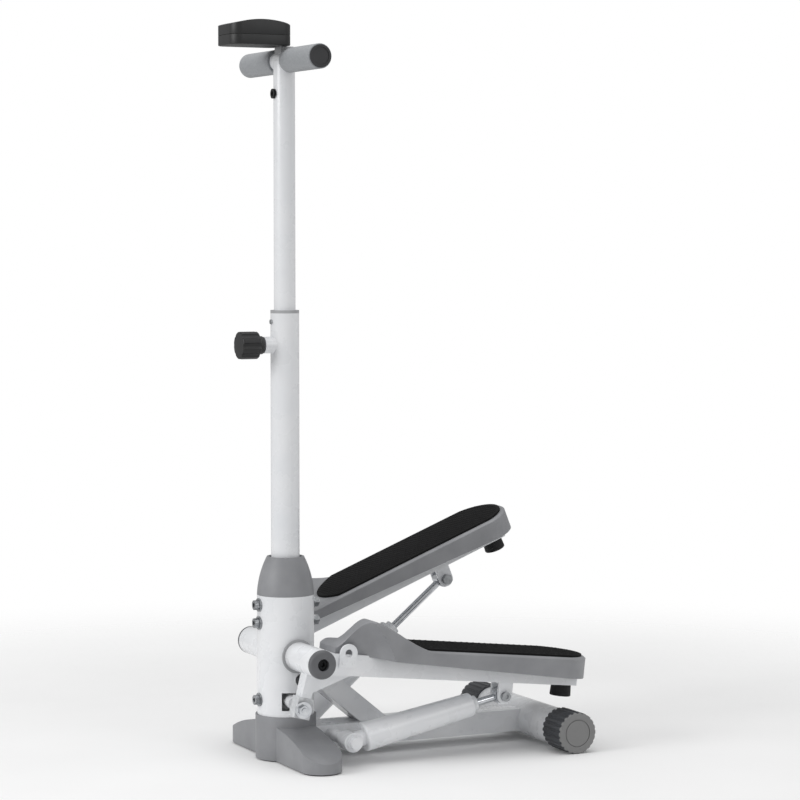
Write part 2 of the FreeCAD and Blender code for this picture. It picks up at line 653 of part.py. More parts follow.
def rear_cap():
    start = "(cap_reach - cap_depth)"
    body = rounded(
        cylinder("cap_radius", "cap_depth", "x", start),
        "cap_floor / 2",
        lambda edge: edge.BoundBox.XMin > number("cap_reach") - TINY,
    )
    socket = cylinder("bar_radius", f"bar_reach - {start}", "x", start)
    room = cylinder("bar_radius - bar_wall", "cap_reach - cap_floor - bar_reach", "x", "bar_reach")
    ring = cut(
        cylinder("cap_ring + ring_half", "ring_depth", "x", "cap_reach - ring_depth"),
        cylinder("cap_ring - ring_half", "ring_depth", "x", "cap_reach - ring_depth"),
    )
    count = int(number("cap_rib_count"))
    grooves = [
        cylinder(
            "cap_groove",
            "cap_depth",
            "x",
            start,
            f"(cap_radius + cap_groove_out) * cos({turn} * 360 / cap_rib_count)",
            f"(cap_radius + cap_groove_out) * sin({turn} * 360 / cap_rib_count)",
        )
        for turn in (n + 0.5 for n in range(count))
    ]
    return put(cut(body, socket, room, ring, *grooves), y="column_y + bar_y", z="cap_radius")


# ---------------------------------------------------------------- pivot and damper axles


def pivot_axle():
    reach = "(hub_reach - bush_length / 4 + side_gap)"
    return cylinder("axle_radius", f"2 * {reach}", "x", f"-{reach}", "column_y", "pivot_z")


def pivot_shims():
    ring = cut(
        cylinder("shim_radius", "shim_thick", "x", "hub_start - side_gap - shim_thick"),
        cylinder("axle_radius", "shim_thick", "x", "hub_start - side_gap - shim_thick"),
    )
    return put(both_sides(ring), y="column_y", z="pivot_z")


def axle_end_bolts():
    """A socket bolt with its washer at each end of the pivot axle."""
    seat = "(hub_reach - bush_length / 4 + side_gap)"
    washer = cylinder("axle_radius + 3", "flange_thick", "x", seat)
    head = cylinder("bolt_head", "bolt_head_height - 1", "x", f"{seat} + flange_thick")
    socket = hexagon("bolt_socket", "3", "x", f"{seat} + flange_thick + bolt_head_height - 4")
    return put(both_sides(cut(fuse(washer, head), socket)), y="column_y", z="pivot_z")


def damper_axle():
    reach = "(pedal_x + eye_half_width + side_gap + flange_thick + nut_height)"
    return cylinder("pin_radius", f"2 * {reach}", "x", f"-{reach}", "column_y + eye_back", "eye_z")


def damper_axle_nuts():
    """A washer and a round cap nut at each end of the damper axle."""
    seat = "(pedal_x + eye_half_width + side_gap)"
    washer = cylinder("flange_radius + 1", "flange_thick", "x", seat)
    cap = cylinder("nut_radius + dome_wide", "nut_height + dome_high", "x", f"{seat} + flange_thick")
    bore = cylinder("pin_radius", "flange_thick + nut_height", "x", seat)
    return put(both_sides(cut(fuse(washer, cap), bore)), y="column_y + eye_back", z="eye_z")


# ---------------------------------------------------------------- rocker


def rocker_bracket():
    """A bracket inside the column's front wall whose two shelves carry the rocker pin."""
    gap = "(rocker_boss_half + side_gap)"
    outer = common(
        cylinder("column_radius - column_wall", f"2 * ({gap} + bracket_thick)",
                 z=f"-{gap} - bracket_thick"),
        block("-bracket_half", "bracket_half", "-column_radius", "bracket_half",
              f"-{gap} - bracket_thick", f"{gap} + bracket_thick"),
    )
    room = block(
        "-bracket_half",
        "bracket_half",
        "-column_radius + column_wall + 2 * bracket_thick",
        "bracket_half",
        f"-{gap}",
        gap,
    )
    pin = cylinder("rocker_pin", f"2 * ({gap} + bracket_thick)", z=f"-{gap} - bracket_thick")
    hole = cylinder("bolt_radius", "column_radius", "y", y="-column_radius")
    return put(cut(outer, room, pin, hole), y="column_y", z="rocker_z")


def rocker_bracket_bolt():
    seat = "(column_radius - column_wall - 2 * bracket_thick)"
    screw = bolt("column_wall + 2 * bracket_thick + flange_thick + nut_height", y="-column_radius")
    return put(group(screw, nut(y=f"-{seat}")), y="column_y", z="rocker_z")


def rocker_pin():
    reach = "(rocker_boss_half + side_gap + bracket_thick)"
    return cylinder("rocker_pin", f"2 * {reach}", y="column_y", z=f"rocker_z - {reach}")


def at_rocker(piece):
    """Turn a rocker piece, drawn along X, to its place at rest."""
    place = "placement(vector(0; column_y; rocker_z); rotation(vector(0; 0; 1); rocker_rest))"
    return bind(piece, Placement=place)


def rocker_beam():
    bar = cylinder("rocker_radius", "2 * rocker_reach", "x", "-rocker_reach")
    boss = cylinder("rocker_boss", "2 * rocker_boss_half", z="-rocker_boss_half")
    bore = cylinder("rocker_pin + run_gap", "2 * rocker_boss_half", z="-rocker_boss_half")
    length = "rocker_reach - stud_start"
    sockets = [
        cylinder("stud_radius", length, "x", "stud_start"),
        cylinder("stud_radius", length, "x", "-rocker_reach"),
    ]
    return at_rocker(cut(fuse(bar, boss), bore, *sockets))


def rocker_studs():
    """A chromed stud at each end of the rocker, with its washer and lock nut."""
    seat = "(pedal_x + knuckle_half + stud_play)"
    reach = f"{seat} + nut_height + flange_thick + stud_proud - stud_start"
    stud = cylinder("stud_radius", reach, "x", "stud_start")
    washer = cylinder("stud_washer", "flange_thick", "x", seat)
    lock = hexagon("nut_radius", "nut_height", "x", f"{seat} + flange_thick")
    return at_rocker(both_sides(fuse(stud, washer, lock)))


# ---------------------------------------------------------------- mast, lock and handle


def lower_mast():
    """The lower mast with the lock boss welded to its front."""
    height = "mast_top - mast_bottom"
    outer = cylinder("mast_radius", height, z="mast_bottom")
    inner = cylinder("mast_radius - mast_wall", height, z="mast_bottom")
    boss = cylinder("boss_radius", "boss_reach", "y", y="-boss_reach", z="lock_z")
    thread = cylinder("spindle_radius + run_gap", "boss_reach", "y", y="-boss_reach", z="lock_z")
    screw = cylinder("bolt_radius / 2", "mast_radius", "y", y="-mast_radius", z="bush_screw_z")
    holes = [
        cylinder("bolt_radius", "2 * mast_radius", "y", y="-mast_radius", z=level)
        for level in ("mast_bolt_low", "mast_bolt_high")
    ]
    return put(cut(fuse(outer, boss), inner, thread, screw, *holes), y="column_y")


def mast_bushing():
    """A guide bush in the lower mast's upper end, with a lip on top of it."""
    bore = "(post_radius + slide_gap)"
    profile = [
        (bore, "-bush_depth"),
        ("mast_radius - mast_wall", "-bush_depth"),
        ("mast_radius - mast_wall", "0"),
        ("mast_radius", "0"),
        ("mast_radius", "bush_lip"),
        (bore, "bush_lip"),
    ]
    hole = cylinder(
        "bolt_radius / 2", "mast_radius", "y", y="-mast_radius", z="bush_screw_z - mast_top"
    )
    return put(cut(turned("XZ_Plane", profile, "V_Axis"), hole), y="column_y", z="mast_top")


def bushing_screw():
    head = cylinder(
        "small_head", "small_head_height", "y", y="-mast_radius - small_head_height", z="bush_screw_z"
    )
    reach = "mast_radius - post_radius - slide_gap - side_gap"
    shank = cylinder("bolt_radius / 2", reach, "y", y="-mast_radius", z="bush_screw_z")
    return put(fuse(head, shank), y="column_y")


def lock_spindle():
    tip = "(post_radius + spindle_gap)"
    length = f"knob_face_reach - 4 - {tip}"
    return cylinder("spindle_radius", length, "y", y="column_y - knob_face_reach + 4", z="lock_z")


def lock_knob():
    """A lobed hand knob that turns the spindle."""
    depth = "knob_face_reach - knob_head_reach"
    head = rounded(
        cylinder("knob_radius", depth, "y", y="-knob_face_reach"),
        "knob_edge",
        lambda edge: edge.BoundBox.YLength < TINY,
    )
    count = int(number("knob_lobes"))
    middle = "(knob_radius + knob_scoop - knob_scoop_depth)"
    scoops = [
        cylinder(
            "knob_scoop",
            depth,
            "y",
            f"{middle} * cos({turn} * 360 / knob_lobes)",
            "-knob_face_reach",
            f"{middle} * sin({turn} * 360 / knob_lobes)",
        )
        for turn in range(count)
    ]
    neck = cylinder("knob_neck", "knob_head_reach - knob_neck_reach", "y", y="-knob_head_reach")
    bore = cylinder("spindle_radius + run_gap", "knob_face_reach - 4", "y", y="-knob_face_reach + 4")
    return put(cut(fuse(cut(head, *scoops), neck), bore), y="column_y", z="lock_z")


def upper_mast():
    """The upper mast with the handlebar welded across its top."""
    height = "handle_z - post_bottom"
    post = cylinder("post_radius", height, z="post_bottom")
    inner = cylinder("post_radius - post_wall", height, z="post_bottom")
    bar = cylinder("handle_radius", "2 * handle_reach", "x", "-handle_reach", z="handle_z")
    room = cylinder(
        "handle_radius - handle_wall", "2 * handle_reach", "x", "-handle_reach", z="handle_z"
    )
    hole = cylinder("bolt_radius / 2", "post_radius", "y", y="-post_radius", z="handle_screw_z")
    return put(cut(fuse(post, bar), inner, room, hole), y="column_y")


def handle_screw():
    head = cylinder("bolt_head", "3", "y", y="-post_radius - 3", z="handle_screw_z")
    shank = cylinder("bolt_radius / 2", "post_wall + 3", "y", y="-post_radius", z="handle_screw_z")
    slot = hexagon("bolt_socket", "handle_socket", "y", y="-post_radius - 3", z="handle_screw_z")
    return put(cut(fuse(head, shank), slot), y="column_y")


def grip():
    length = "grip_reach - grip_start"
    foam = rounded(
        cylinder("grip_radius", length, "x", "grip_start"),
        "grip_edge",
        lambda edge: edge.BoundBox.XLength < TINY,
    )
    bore = cylinder("handle_radius", length, "x", "grip_start")
    return put(cut(foam, bore), y="column_y", z="handle_z")


def grip_plugs():
    """A dished plug in each end of the handlebar."""
    lip = cylinder("grip_radius - plug_inset", "plug_lip", "x", "grip_reach")
    length = "plug_depth + grip_reach - handle_reach"
    stem = cylinder("handle_radius - handle_wall", length, "x", "handle_reach - plug_depth")
    neck = cylinder("handle_radius", "grip_reach - handle_reach", "x", "handle_reach")
    dish = cylinder("handle_radius - plug_rim", "plug_dish", "x", "grip_reach + plug_lip - plug_dish")
    return put(both_sides(cut(fuse(lip, neck, stem), dish)), y="column_y", z="handle_z")


# ---------------------------------------------------------------- monitor


def monitor_form(inset):
    """The monitor's whole form, or with an inset the room inside it."""
    half = f"(monitor_half_width - {inset})"
    side = padded(
        "YZ_Plane",
        [
            (f"-monitor_length + {inset}", inset),
            (f"-{inset}", inset),
            (f"-{inset}", f"monitor_side - {inset}"),
            ("-monitor_length / 2", f"monitor_crown - {inset}", "arc"),
            (f"-monitor_length + {inset}", f"monitor_side - {inset}"),
        ],
        f"2 * {half}",
    )
    low = f"-monitor_length + {inset}"
    body = block(f"-{half}", half, low, f"-{inset}", "0", "monitor_crown")
    corners = rounded(
        body,
        f"monitor_corner - {inset}",
        lambda edge: edge.BoundBox.ZLength > 5,
    )
    return common(side, corners)


def monitor_case_lower():
    shell = cut(monitor_form("0"), monitor_form("monitor_wall"))
    half = "monitor_half_width"
    lower = common(shell, block(f"-{half}", half, "-monitor_length", "0", "0", "monitor_seam"))
    return put(lower, y="column_y", z="monitor_low")


def button_top():
    """The height of the monitor's top at the button."""
    chord = "(button_back - monitor_length / 2) / (monitor_length / 2)"
    return f"(monitor_side + (monitor_crown - monitor_side) * (1 - ({chord}) ^ 2))"


def monitor_case_upper():
    shell = cut(monitor_form("0"), monitor_form("monitor_wall"))
    half = "monitor_half_width"
    upper = common(
        shell, block(f"-{half}", half, "-monitor_length", "0", "monitor_seam", "monitor_crown")
    )
    window = block(
        "-lens_half_width",
        "lens_half_width",
        "-lens_back - lens_half_length",
        "-lens_back + lens_half_length",
        "monitor_seam",
        "monitor_crown",
    )
    hole = cylinder("button_radius + button_play", "monitor_crown", y="-button_back")
    return put(cut(upper, window, hole), y="column_y", z="monitor_low")


def monitor_lens():
    """A clear lens that fills the window in the arched top."""
    window = block(
        "-lens_half_width",
        "lens_half_width",
        "-lens_back - lens_half_length",
        "-lens_back + lens_half_length",
        "monitor_seam",
        "monitor_crown",
    )
    lens = common(cut(monitor_form("0"), monitor_form("lens_thick")), window)
    return put(lens, y="column_y", z="monitor_low")


def monitor_button():
    stem = cylinder("button_radius", "button_proud + monitor_wall + 3", y="-button_back",
                    z=f"{button_top()} - monitor_wall - 3")
    flange = cylinder("button_flange", "button_flange_thick", y="-button_back",
                      z=f"{button_top()} - monitor_wall - button_drop")
    return put(fuse(stem, flange), y="column_y", z="monitor_low")


def monitor_bracket():
    """A saddle on the handlebar that carries the monitor."""
    body = block("-neck_half_width", "neck_half_width", "-neck_back", "neck_back",
                 "handle_z", "monitor_low")
    bar = cylinder("handle_radius", "2 * handle_reach", "x", "-handle_reach", z="handle_z")
    return put(cut(body, bar), y="column_y")


# ---------------------------------------------------------------- pedals


def at_pedal(piece):
    """Tilt a pedal piece, drawn round the pivot axis, to the left pedal's rest."""
    place = "placement(vector(0; column_y; pivot_z); rotation(vector(1; 0; 0); left_tilt))"
    return bind(piece, Placement=place)


def other_pedal(piece):
    """The same piece on the right pedal, swung about the pivot axis to its own rest."""
    swing = "rotation(vector(1; 0; 0); right_tilt - left_tilt)"
    place = f"placement(vector(0; 0; 0); {swing}; vector(0; column_y; pivot_z))"
    return bind(mirrored(piece), Placement=place)


def pedal_arm():
    """Arm, hub, lever, gusset and clevis, welded together."""
    wall = "arm_wall"
    outer = block("pedal_x - arm_half_width", "pedal_x + arm_half_width", "0", "arm_end",
                  "arm_low", "arm_high")
    inner = block(f"pedal_x - arm_half_width + {wall}", f"pedal_x + arm_half_width - {wall}",
                  "0", f"arm_end - {wall}", f"arm_low + {wall}", f"arm_high - {wall}")
    length = "hub_reach - hub_start"
    hub = cylinder("hub_radius", length, "x", "hub_start")
    bore = cylinder("hub_radius - hub_wall", length, "x", "hub_start")
    lean = "atan2(lever_along; -lever_up)"
    lever = block("-lever_half", "lever_half", "-lever_thick / 2", "lever_thick / 2",
                  "lever_up + knuckle_rise", "0")
    lever = group(lever)
    gusset = padded(
        "YZ_Plane",
        [
            ("0", "0"),
            ("0", "arm_low"),
            ("lever_along * 0.7", "(lever_up + knuckle_rise) * 0.97"),
            ("gusset_along", "arm_low"),
            ("gusset_along", "arm_low + 1"),
        ],
        "gusset_thick",
    )
    seat = "arm_low - 3"
    base = block("pedal_x - ear_half_gap - ear_thick", "pedal_x + ear_half_gap + ear_thick",
                 "clevis_along - ear_half_width", "clevis_along + ear_half_width", seat, "arm_low")
    ears = []
    for start in ("pedal_x + ear_half_gap", "pedal_x - ear_half_gap - ear_thick"):
        ears.append(block(start, f"{start} + ear_thick", "clevis_along - ear_half_width",
                          "clevis_along + ear_half_width", "clevis_up", "arm_low"))
        ears.append(cylinder("ear_half_width", "ear_thick", "x", start, "clevis_along", "clevis_up"))
    pin = cylinder("bolt_radius", "4 * ear_half_gap", "x", "pedal_x - 2 * ear_half_gap",
                   "clevis_along", "clevis_up")
    put(gusset, x="pedal_x")
    bind(lever, Placement=f"placement(vector(pedal_x; 0; 0); rotation(vector(1; 0; 0); {lean}))")
    welded = fuse(cut(outer, inner), hub, lever, gusset, base, *ears)
    return cut(welded, bore, pin)


def hub_bushes():
    """Two plastic bushes between the hub and the axle."""
    rings = []
    for start in ("hub_start", "hub_reach - bush_length * 1.25"):
        outer = cylinder("hub_radius - hub_wall", "bush_length", "x", start)
        inner = cylinder("axle_radius + run_gap", "bush_length", "x", start)
        rings.append(cut(outer, inner))
    return group(*rings)


def hub_cap():
    """A domed cap on the hub's end, open in the middle for the axle bolt."""
    face = rounded(
        cylinder("hub_radius", "hub_cap_reach - hub_reach", "x", "hub_reach"),
        "hub_cap_edge",
        lambda edge: edge.BoundBox.XMin > number("hub_cap_reach") - TINY,
    )
    skirt = cut(
        cylinder("hub_radius - hub_wall", "bush_length / 4", "x", "hub_reach - bush_length / 4"),
        cylinder("axle_radius + 4", "bush_length / 4", "x", "hub_reach - bush_length / 4"),
    )
    return cut(fuse(face, skirt), cylinder("hub_cap_bore", "hub_cap_well", "x", "hub_reach - hub_cap_root"))


def knuckle():
    """A cast knuckle welded under the lever, bored for the rocker stud."""
    body = block("-knuckle_half", "knuckle_half", "-knuckle_along", "knuckle_along",
                 "lever_up - knuckle_rise", "lever_up + knuckle_rise")
    bore = cylinder("knuckle_bore", "2 * knuckle_half", "x", "-knuckle_half", z="lever_up")
    lean = "atan2(lever_along; -lever_up)"
    place = f"placement(vector(pedal_x; 0; 0); rotation(vector(1; 0; 0); {lean}))"
    leaning = group(cut(body, bore))
    bind(leaning, Placement=place)
    return group(leaning)


def band_hook():
    """A plate with an arched eye, riveted to the arm's outer side."""
    start = "pedal_x + arm_half_width"
    plate = block(start, f"{start} + hook_thick", "hook_along - hook_half_width",
                  "hook_along + hook_half_width", "hook_low", "hook_rise")
    arch = cylinder("hook_half_width", "hook_thick", "x", start, "hook_along", "hook_rise")
    hole_top = cylinder("hook_hole", "hook_thick", "x", start, "hook_along", "hook_rise")
    hole = block(start, f"{start} + hook_thick", "hook_along - hook_hole", "hook_along + hook_hole",
                 "arm_high", "hook_rise")
    rivets = [
        cylinder("rivet_radius", "hook_thick + rivet_head", "x", start,
                 f"hook_along {sign} hook_half_width * 0.6", "rivet_up")
        for sign in "+-"
    ]
    return fuse(cut(fuse(plate, arch), hole_top, hole), *rivets)


def plate_outline(inset):
    """The footplate seen from above, as corners (across, along)."""
    inner = f"(plate_inner - {inset})"
    outer = f"(plate_outer - {inset})"
    toe = f"(plate_toe + {inset})"
    end = f"(plate_end - {inset})"
    bend = f"plate_corner * 0.3 + {inset} * 0.3"
    return [
        (f"-{inner}", f"{toe} + plate_corner"),
        (f"-{inner}", "plate_nose"),
        (f"(plate_outer - plate_inner) / 2", end, "arc"),
        (outer, "plate_nose"),
        (outer, "flare_end"),
        (f"flare_middle - {inset}", f"flare_along - {inset} * 0.4", "arc"),
        (f"flare_start - {inset}", toe),
        (f"-{inner} + plate_corner", toe),
        (f"-{inner} + {bend}", f"{toe} + {bend}", "arc"),
    ]


def plate_form(inset, drop, deeper):
    """The footplate's solid form, or with insets the room inside it."""
    plan = padded("XY_Plane", plate_outline(inset), "4 * toe_peak")
    side = padded(
        "YZ_Plane",
        [
            ("plate_toe", f"skirt_front - {deeper}"),
            ("plate_end", f"skirt_rear - {deeper}"),
            ("plate_end", f"deck_top - {drop}"),
            ("toe_end", f"deck_top - {drop}"),
            ("toe_aft", f"toe_shoulder - {drop}"),
            ("toe_middle", f"toe_peak - {drop}", "arc"),
            ("toe_fore", f"toe_shoulder - {drop}"),
            ("plate_toe", f"toe_lip - {drop}"),
        ],
        "4 * plate_inner",
    )
    front = padded(
        "XZ_Plane",
        [
            ("-2 * plate_inner", "-2 * toe_peak"),
            ("2 * plate_inner", "-2 * toe_peak"),
            ("2 * plate_inner", f"toe_peak - {drop} + 1"),
            ("toe_ridge", f"toe_peak - {drop} + 1"),
            ("(toe_ridge + toe_foot) / 2", f"(toe_peak + deck_top) / 2 - 8 - {drop}", "arc"),
            ("toe_foot", f"deck_top - {drop}"),
            ("-2 * plate_inner", f"deck_top - {drop}"),
        ],
        "4 * plate_end",
    )
    return common(plan, side, front)


def mat_prism(height):
    """The mat's outline from the deck upwards."""
    inner = "(plate_inner - mat_inset)"
    outer = "(plate_outer - mat_inset)"
    outline = [
        (f"-{inner}", "mat_inner"),
        (f"-{inner}", "plate_nose"),
        ("(plate_outer - plate_inner) / 2", "plate_end - mat_inset", "arc"),
        (outer, "plate_nose"),
        (outer, "mat_outer"),
        ("(plate_outer - plate_inner) / 2", "mat_middle", "arc"),
    ]
    return put(padded("XY_Plane", outline, height, middle=False), "pedal_x", z="deck_top")


def pedal_shell():
    """A hollow moulded footplate with a toe guard and bosses that stand on the arm."""
    outer = plate_form("0", "0", "0")
    room = plate_form("skirt_wall", "deck_thick", "2 * skirt_wall")
    shell = cut(outer, room)
    put(shell, "pedal_x")
    bosses = [
        cylinder("post_boss", "deck_top - deck_thick / 2 - arm_high", x=f"pedal_x {sign} arm_half_width / 2",
                 y=along, z="arm_high")
        for along in ("boss_front", "(boss_front + boss_rear) / 2", "boss_rear")
        for sign in "+-"
    ]
    arm = block("pedal_x - arm_half_width", "pedal_x + arm_half_width", "0", "arm_end",
                "arm_low", "arm_high")
    return cut(fuse(shell, *bosses), mat_prism("toe_peak"), arm)


def pedal_mat():
    return group(mat_prism("mat_thick"))


def stopper():
    body = cone("stopper_radius", "stopper_radius - 1", "stopper_height", x="pedal_x",
                y="stopper_along", z="arm_low - stopper_height")
    return rounded(body, "stopper_edge", lambda edge: edge.BoundBox.ZMax < number("arm_low") - 1)


def clevis_bolt():
    """The bolt through clevis and rod eye, with its nut."""
    reach = "(ear_half_gap + ear_thick)"
    shank = cylinder("bolt_radius", f"2 * {reach} + nut_height", "x", f"pedal_x - {reach} - nut_height",
                     "clevis_along", "clevis_up")
    head = cylinder("bolt_head", "bolt_head_height - 1", "x", f"pedal_x + {reach}", "clevis_along",
                    "clevis_up")
    socket = hexagon("bolt_socket", "2", "x", f"pedal_x + {reach} + bolt_head_height - 3",
                     "clevis_along", "clevis_up")
    lock = hexagon("nut_radius", "nut_height", "x", f"pedal_x - {reach} - nut_height",
                   "clevis_along", "clevis_up")
    return cut(fuse(shank, head, lock), socket)


# ---------------------------------------------------------------- dampers


def clevis_place(tilt):
    """The clevis pin's place behind the column and over the floor, at a pedal's tilt."""
    back = f"(clevis_along * cos({tilt}) - clevis_up * sin({tilt}))"
    height = f"(pivot_z + clevis_along * sin({tilt}) + clevis_up * cos({tilt}))"
    return back, height


def damper_length(tilt):
    back, height = clevis_place(tilt)
    return f"sqrt(({back} - eye_back) ^ 2 + ({height} - eye_z) ^ 2)"


def at_damper(piece, side, tilt):
    """Stand a damper piece, drawn along Y from its lower eye, between eye and clevis."""
    back, height = clevis_place(tilt)
    slope = f"atan2({height} - eye_z; {back} - eye_back)"
    spot = f"vector({side} * pedal_x; column_y + eye_back; eye_z)"
    return bind(piece, Placement=f"placement({spot}; rotation(vector(1; 0; 0); {slope}))")


def damper_tube():
    """The damper's tube with its neck and lower eye."""
    tube = cone("tube_low", "tube_high", "tube_reach - tube_start", "y", y="tube_start")
    tube = rounded(tube, "tube_edge", lambda edge: edge.BoundBox.YLength < TINY)
    neck = cylinder("neck_radius", "tube_start", "y", y="1")
    eye = cylinder("eye_radius", "2 * eye_half_width", "x", "-eye_half_width")
    bore = cylinder("tube_bore", "tube_reach - tube_floor", "y", y="tube_floor")
    hole = cylinder("pin_radius + run_gap", "2 * eye_half_width", "x", "-eye_half_width")
    return cut(fuse(tube, neck, eye), bore, hole)


def damper_gland():
    plug = cylinder("tube_bore", "gland_depth", "y", y="tube_reach - gland_depth")
    lip = cylinder("gland_radius", "gland_lip", "y", y="tube_reach")
    bore = cylinder("rod_radius + run_gap", "gland_depth + gland_lip", "y", y="tube_reach - gland_depth")
    return cut(fuse(plug, lip), bore)


def damper_rod(length):
    """The rod with its piston at one end and its eye round the clevis pin at the other."""
    rod = cylinder("rod_radius", "rod_length - rod_eye_bore - 1", "y", y=f"{length} - rod_length")
    piston = cylinder("tube_bore - slide_gap", "piston_length", "y", y=f"{length} - rod_length")
    eye = cylinder("rod_eye", "2 * rod_eye_half", "x", "-rod_eye_half", length)
    hole = cylinder("rod_eye_bore", "2 * rod_eye_half", "x", "-rod_eye_half", length)
    return cut(fuse(rod, piston, eye), hole)


# ---------------------------------------------------------------- the whole object

for maker in (
    front_foot_cover, foot_pads, column_tube, column_collar, mast_bolts, main_beam, beam_brace,
    rear_crossbar, pivot_axle, pivot_shims, axle_end_bolts, damper_axle, damper_axle_nuts,
    rocker_bracket, rocker_bracket_bolt, rocker_pin, rocker_beam, rocker_studs, lower_mast,
    mast_bushing, bushing_screw, lock_spindle, lock_knob, upper_mast, handle_screw, grip_plugs,
    monitor_case_lower, monitor_case_upper, monitor_lens, monitor_button, monitor_bracket,
):
    node(maker.__name__, maker())

for name, maker in (("rear_cap", rear_cap), ("grip", grip)):
    left = node(f"left_{name}", maker())
    node(f"right_{name}", mirrored(left))

for name, maker in (
    ("pedal_arm", pedal_arm), ("hub_bushes", hub_bushes), ("hub_cap", hub_cap),
    ("knuckle", knuckle), ("band_hook", band_hook), ("pedal_shell", pedal_shell),
    ("pedal_mat", pedal_mat), ("stopper", stopper), ("clevis_bolt", clevis_bolt),
):
    left = node(f"left_{name}", at_pedal(maker()))
    node(f"right_{name}", other_pedal(left))

for name, side, tilt in (("left", "1", "left_tilt"), ("right", "-1", "right_tilt")):
    node(f"{name}_damper_tube", at_damper(damper_tube(), side, tilt))
    node(f"{name}_damper_gland", at_damper(damper_gland(), side, tilt))
    node(f"{name}_damper_rod", at_damper(damper_rod(damper_length(tilt)), side, tilt))

doc.recompute()
broken = [o.Label for o in doc.Objects if {"Invalid", "Error"} & set(o.State)]
if broken:
    raise RuntimeError(f"objects that failed: {broken}")
for name, piece in nodes.items():
    if piece.Shape.isNull() or not piece.Shape.isValid():
        raise RuntimeError(f"{name} has no valid shape")
    if not piece.Shape.Solids:
        raise RuntimeError(f"{name} has no solid")

os.makedirs("parts", exist_ok=True)
for name, piece in nodes.items():
    piece.Shape.exportStep(f"parts/{name}.step")

whole = FreeCAD.BoundBox()
for piece in nodes.values():
    whole.add(piece.Shape.BoundBox)
print(f"{len(nodes)} sub-parts, {whole.XLength:.1f} x {whole.YLength:.1f} x {whole.ZLength:.1f} mm,")
print(f"y from {whole.YMin:.2f} to {whole.YMax:.2f}, z from {whole.ZMin:.2f} to {whole.ZMax:.2f}")
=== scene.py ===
"""Mini stair stepper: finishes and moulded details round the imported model, as a Blender add-on.

The frame's own nodes carry every tube, joint and fastener.  This script gives them soft edges and
finishes, and adds the shaped pieces: the moulded footplates and their studded mats.  Pedal
pieces are drawn round the pivot axis (x across, a along the arm, u up from it).
"""
import json
import math

import bmesh
import bpy
from mathutils import Matrix, Vector

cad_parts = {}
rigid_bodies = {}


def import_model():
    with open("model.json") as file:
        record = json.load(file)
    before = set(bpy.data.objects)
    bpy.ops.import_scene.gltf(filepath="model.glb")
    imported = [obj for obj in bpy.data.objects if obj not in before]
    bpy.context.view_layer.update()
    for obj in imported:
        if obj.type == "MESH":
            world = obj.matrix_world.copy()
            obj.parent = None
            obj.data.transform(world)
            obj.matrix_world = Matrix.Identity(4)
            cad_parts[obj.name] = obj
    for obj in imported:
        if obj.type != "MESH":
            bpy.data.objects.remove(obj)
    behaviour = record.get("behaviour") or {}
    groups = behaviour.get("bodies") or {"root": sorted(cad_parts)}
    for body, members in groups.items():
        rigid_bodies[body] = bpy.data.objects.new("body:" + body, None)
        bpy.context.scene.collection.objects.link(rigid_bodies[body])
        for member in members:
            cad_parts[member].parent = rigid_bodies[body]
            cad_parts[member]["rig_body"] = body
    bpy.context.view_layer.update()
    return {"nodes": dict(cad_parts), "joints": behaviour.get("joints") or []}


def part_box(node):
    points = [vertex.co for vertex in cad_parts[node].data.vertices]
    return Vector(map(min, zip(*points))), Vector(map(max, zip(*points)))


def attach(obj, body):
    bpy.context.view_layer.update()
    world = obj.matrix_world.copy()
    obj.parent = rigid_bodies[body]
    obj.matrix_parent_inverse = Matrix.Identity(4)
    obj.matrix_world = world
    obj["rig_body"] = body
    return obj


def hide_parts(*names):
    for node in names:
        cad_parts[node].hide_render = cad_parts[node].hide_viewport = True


bl_info = {
    "name": "Mini stair stepper",
    "version": (1, 0, 0),
    "blender": (4, 5, 0),
    "location": "View3D > Sidebar > Stepper",
    "description": "Finishes and moulded details of a mini stair stepper",
    "category": "Object",
}

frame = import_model()
MM = 0.001
SIDES = (("left", 1), ("right", -1))


# ---------------------------------------------------------------- settings


def distance(label, about, millimetres):
    """A setting for a length or a place."""
    return bpy.props.FloatProperty(
        name=label, description=about, default=millimetres * MM, subtype="DISTANCE"
    )


def angle(label, about, degrees):
    """A setting for an angle."""
    return bpy.props.FloatProperty(
        name=label, description=about, default=math.radians(degrees), subtype="ANGLE"
    )


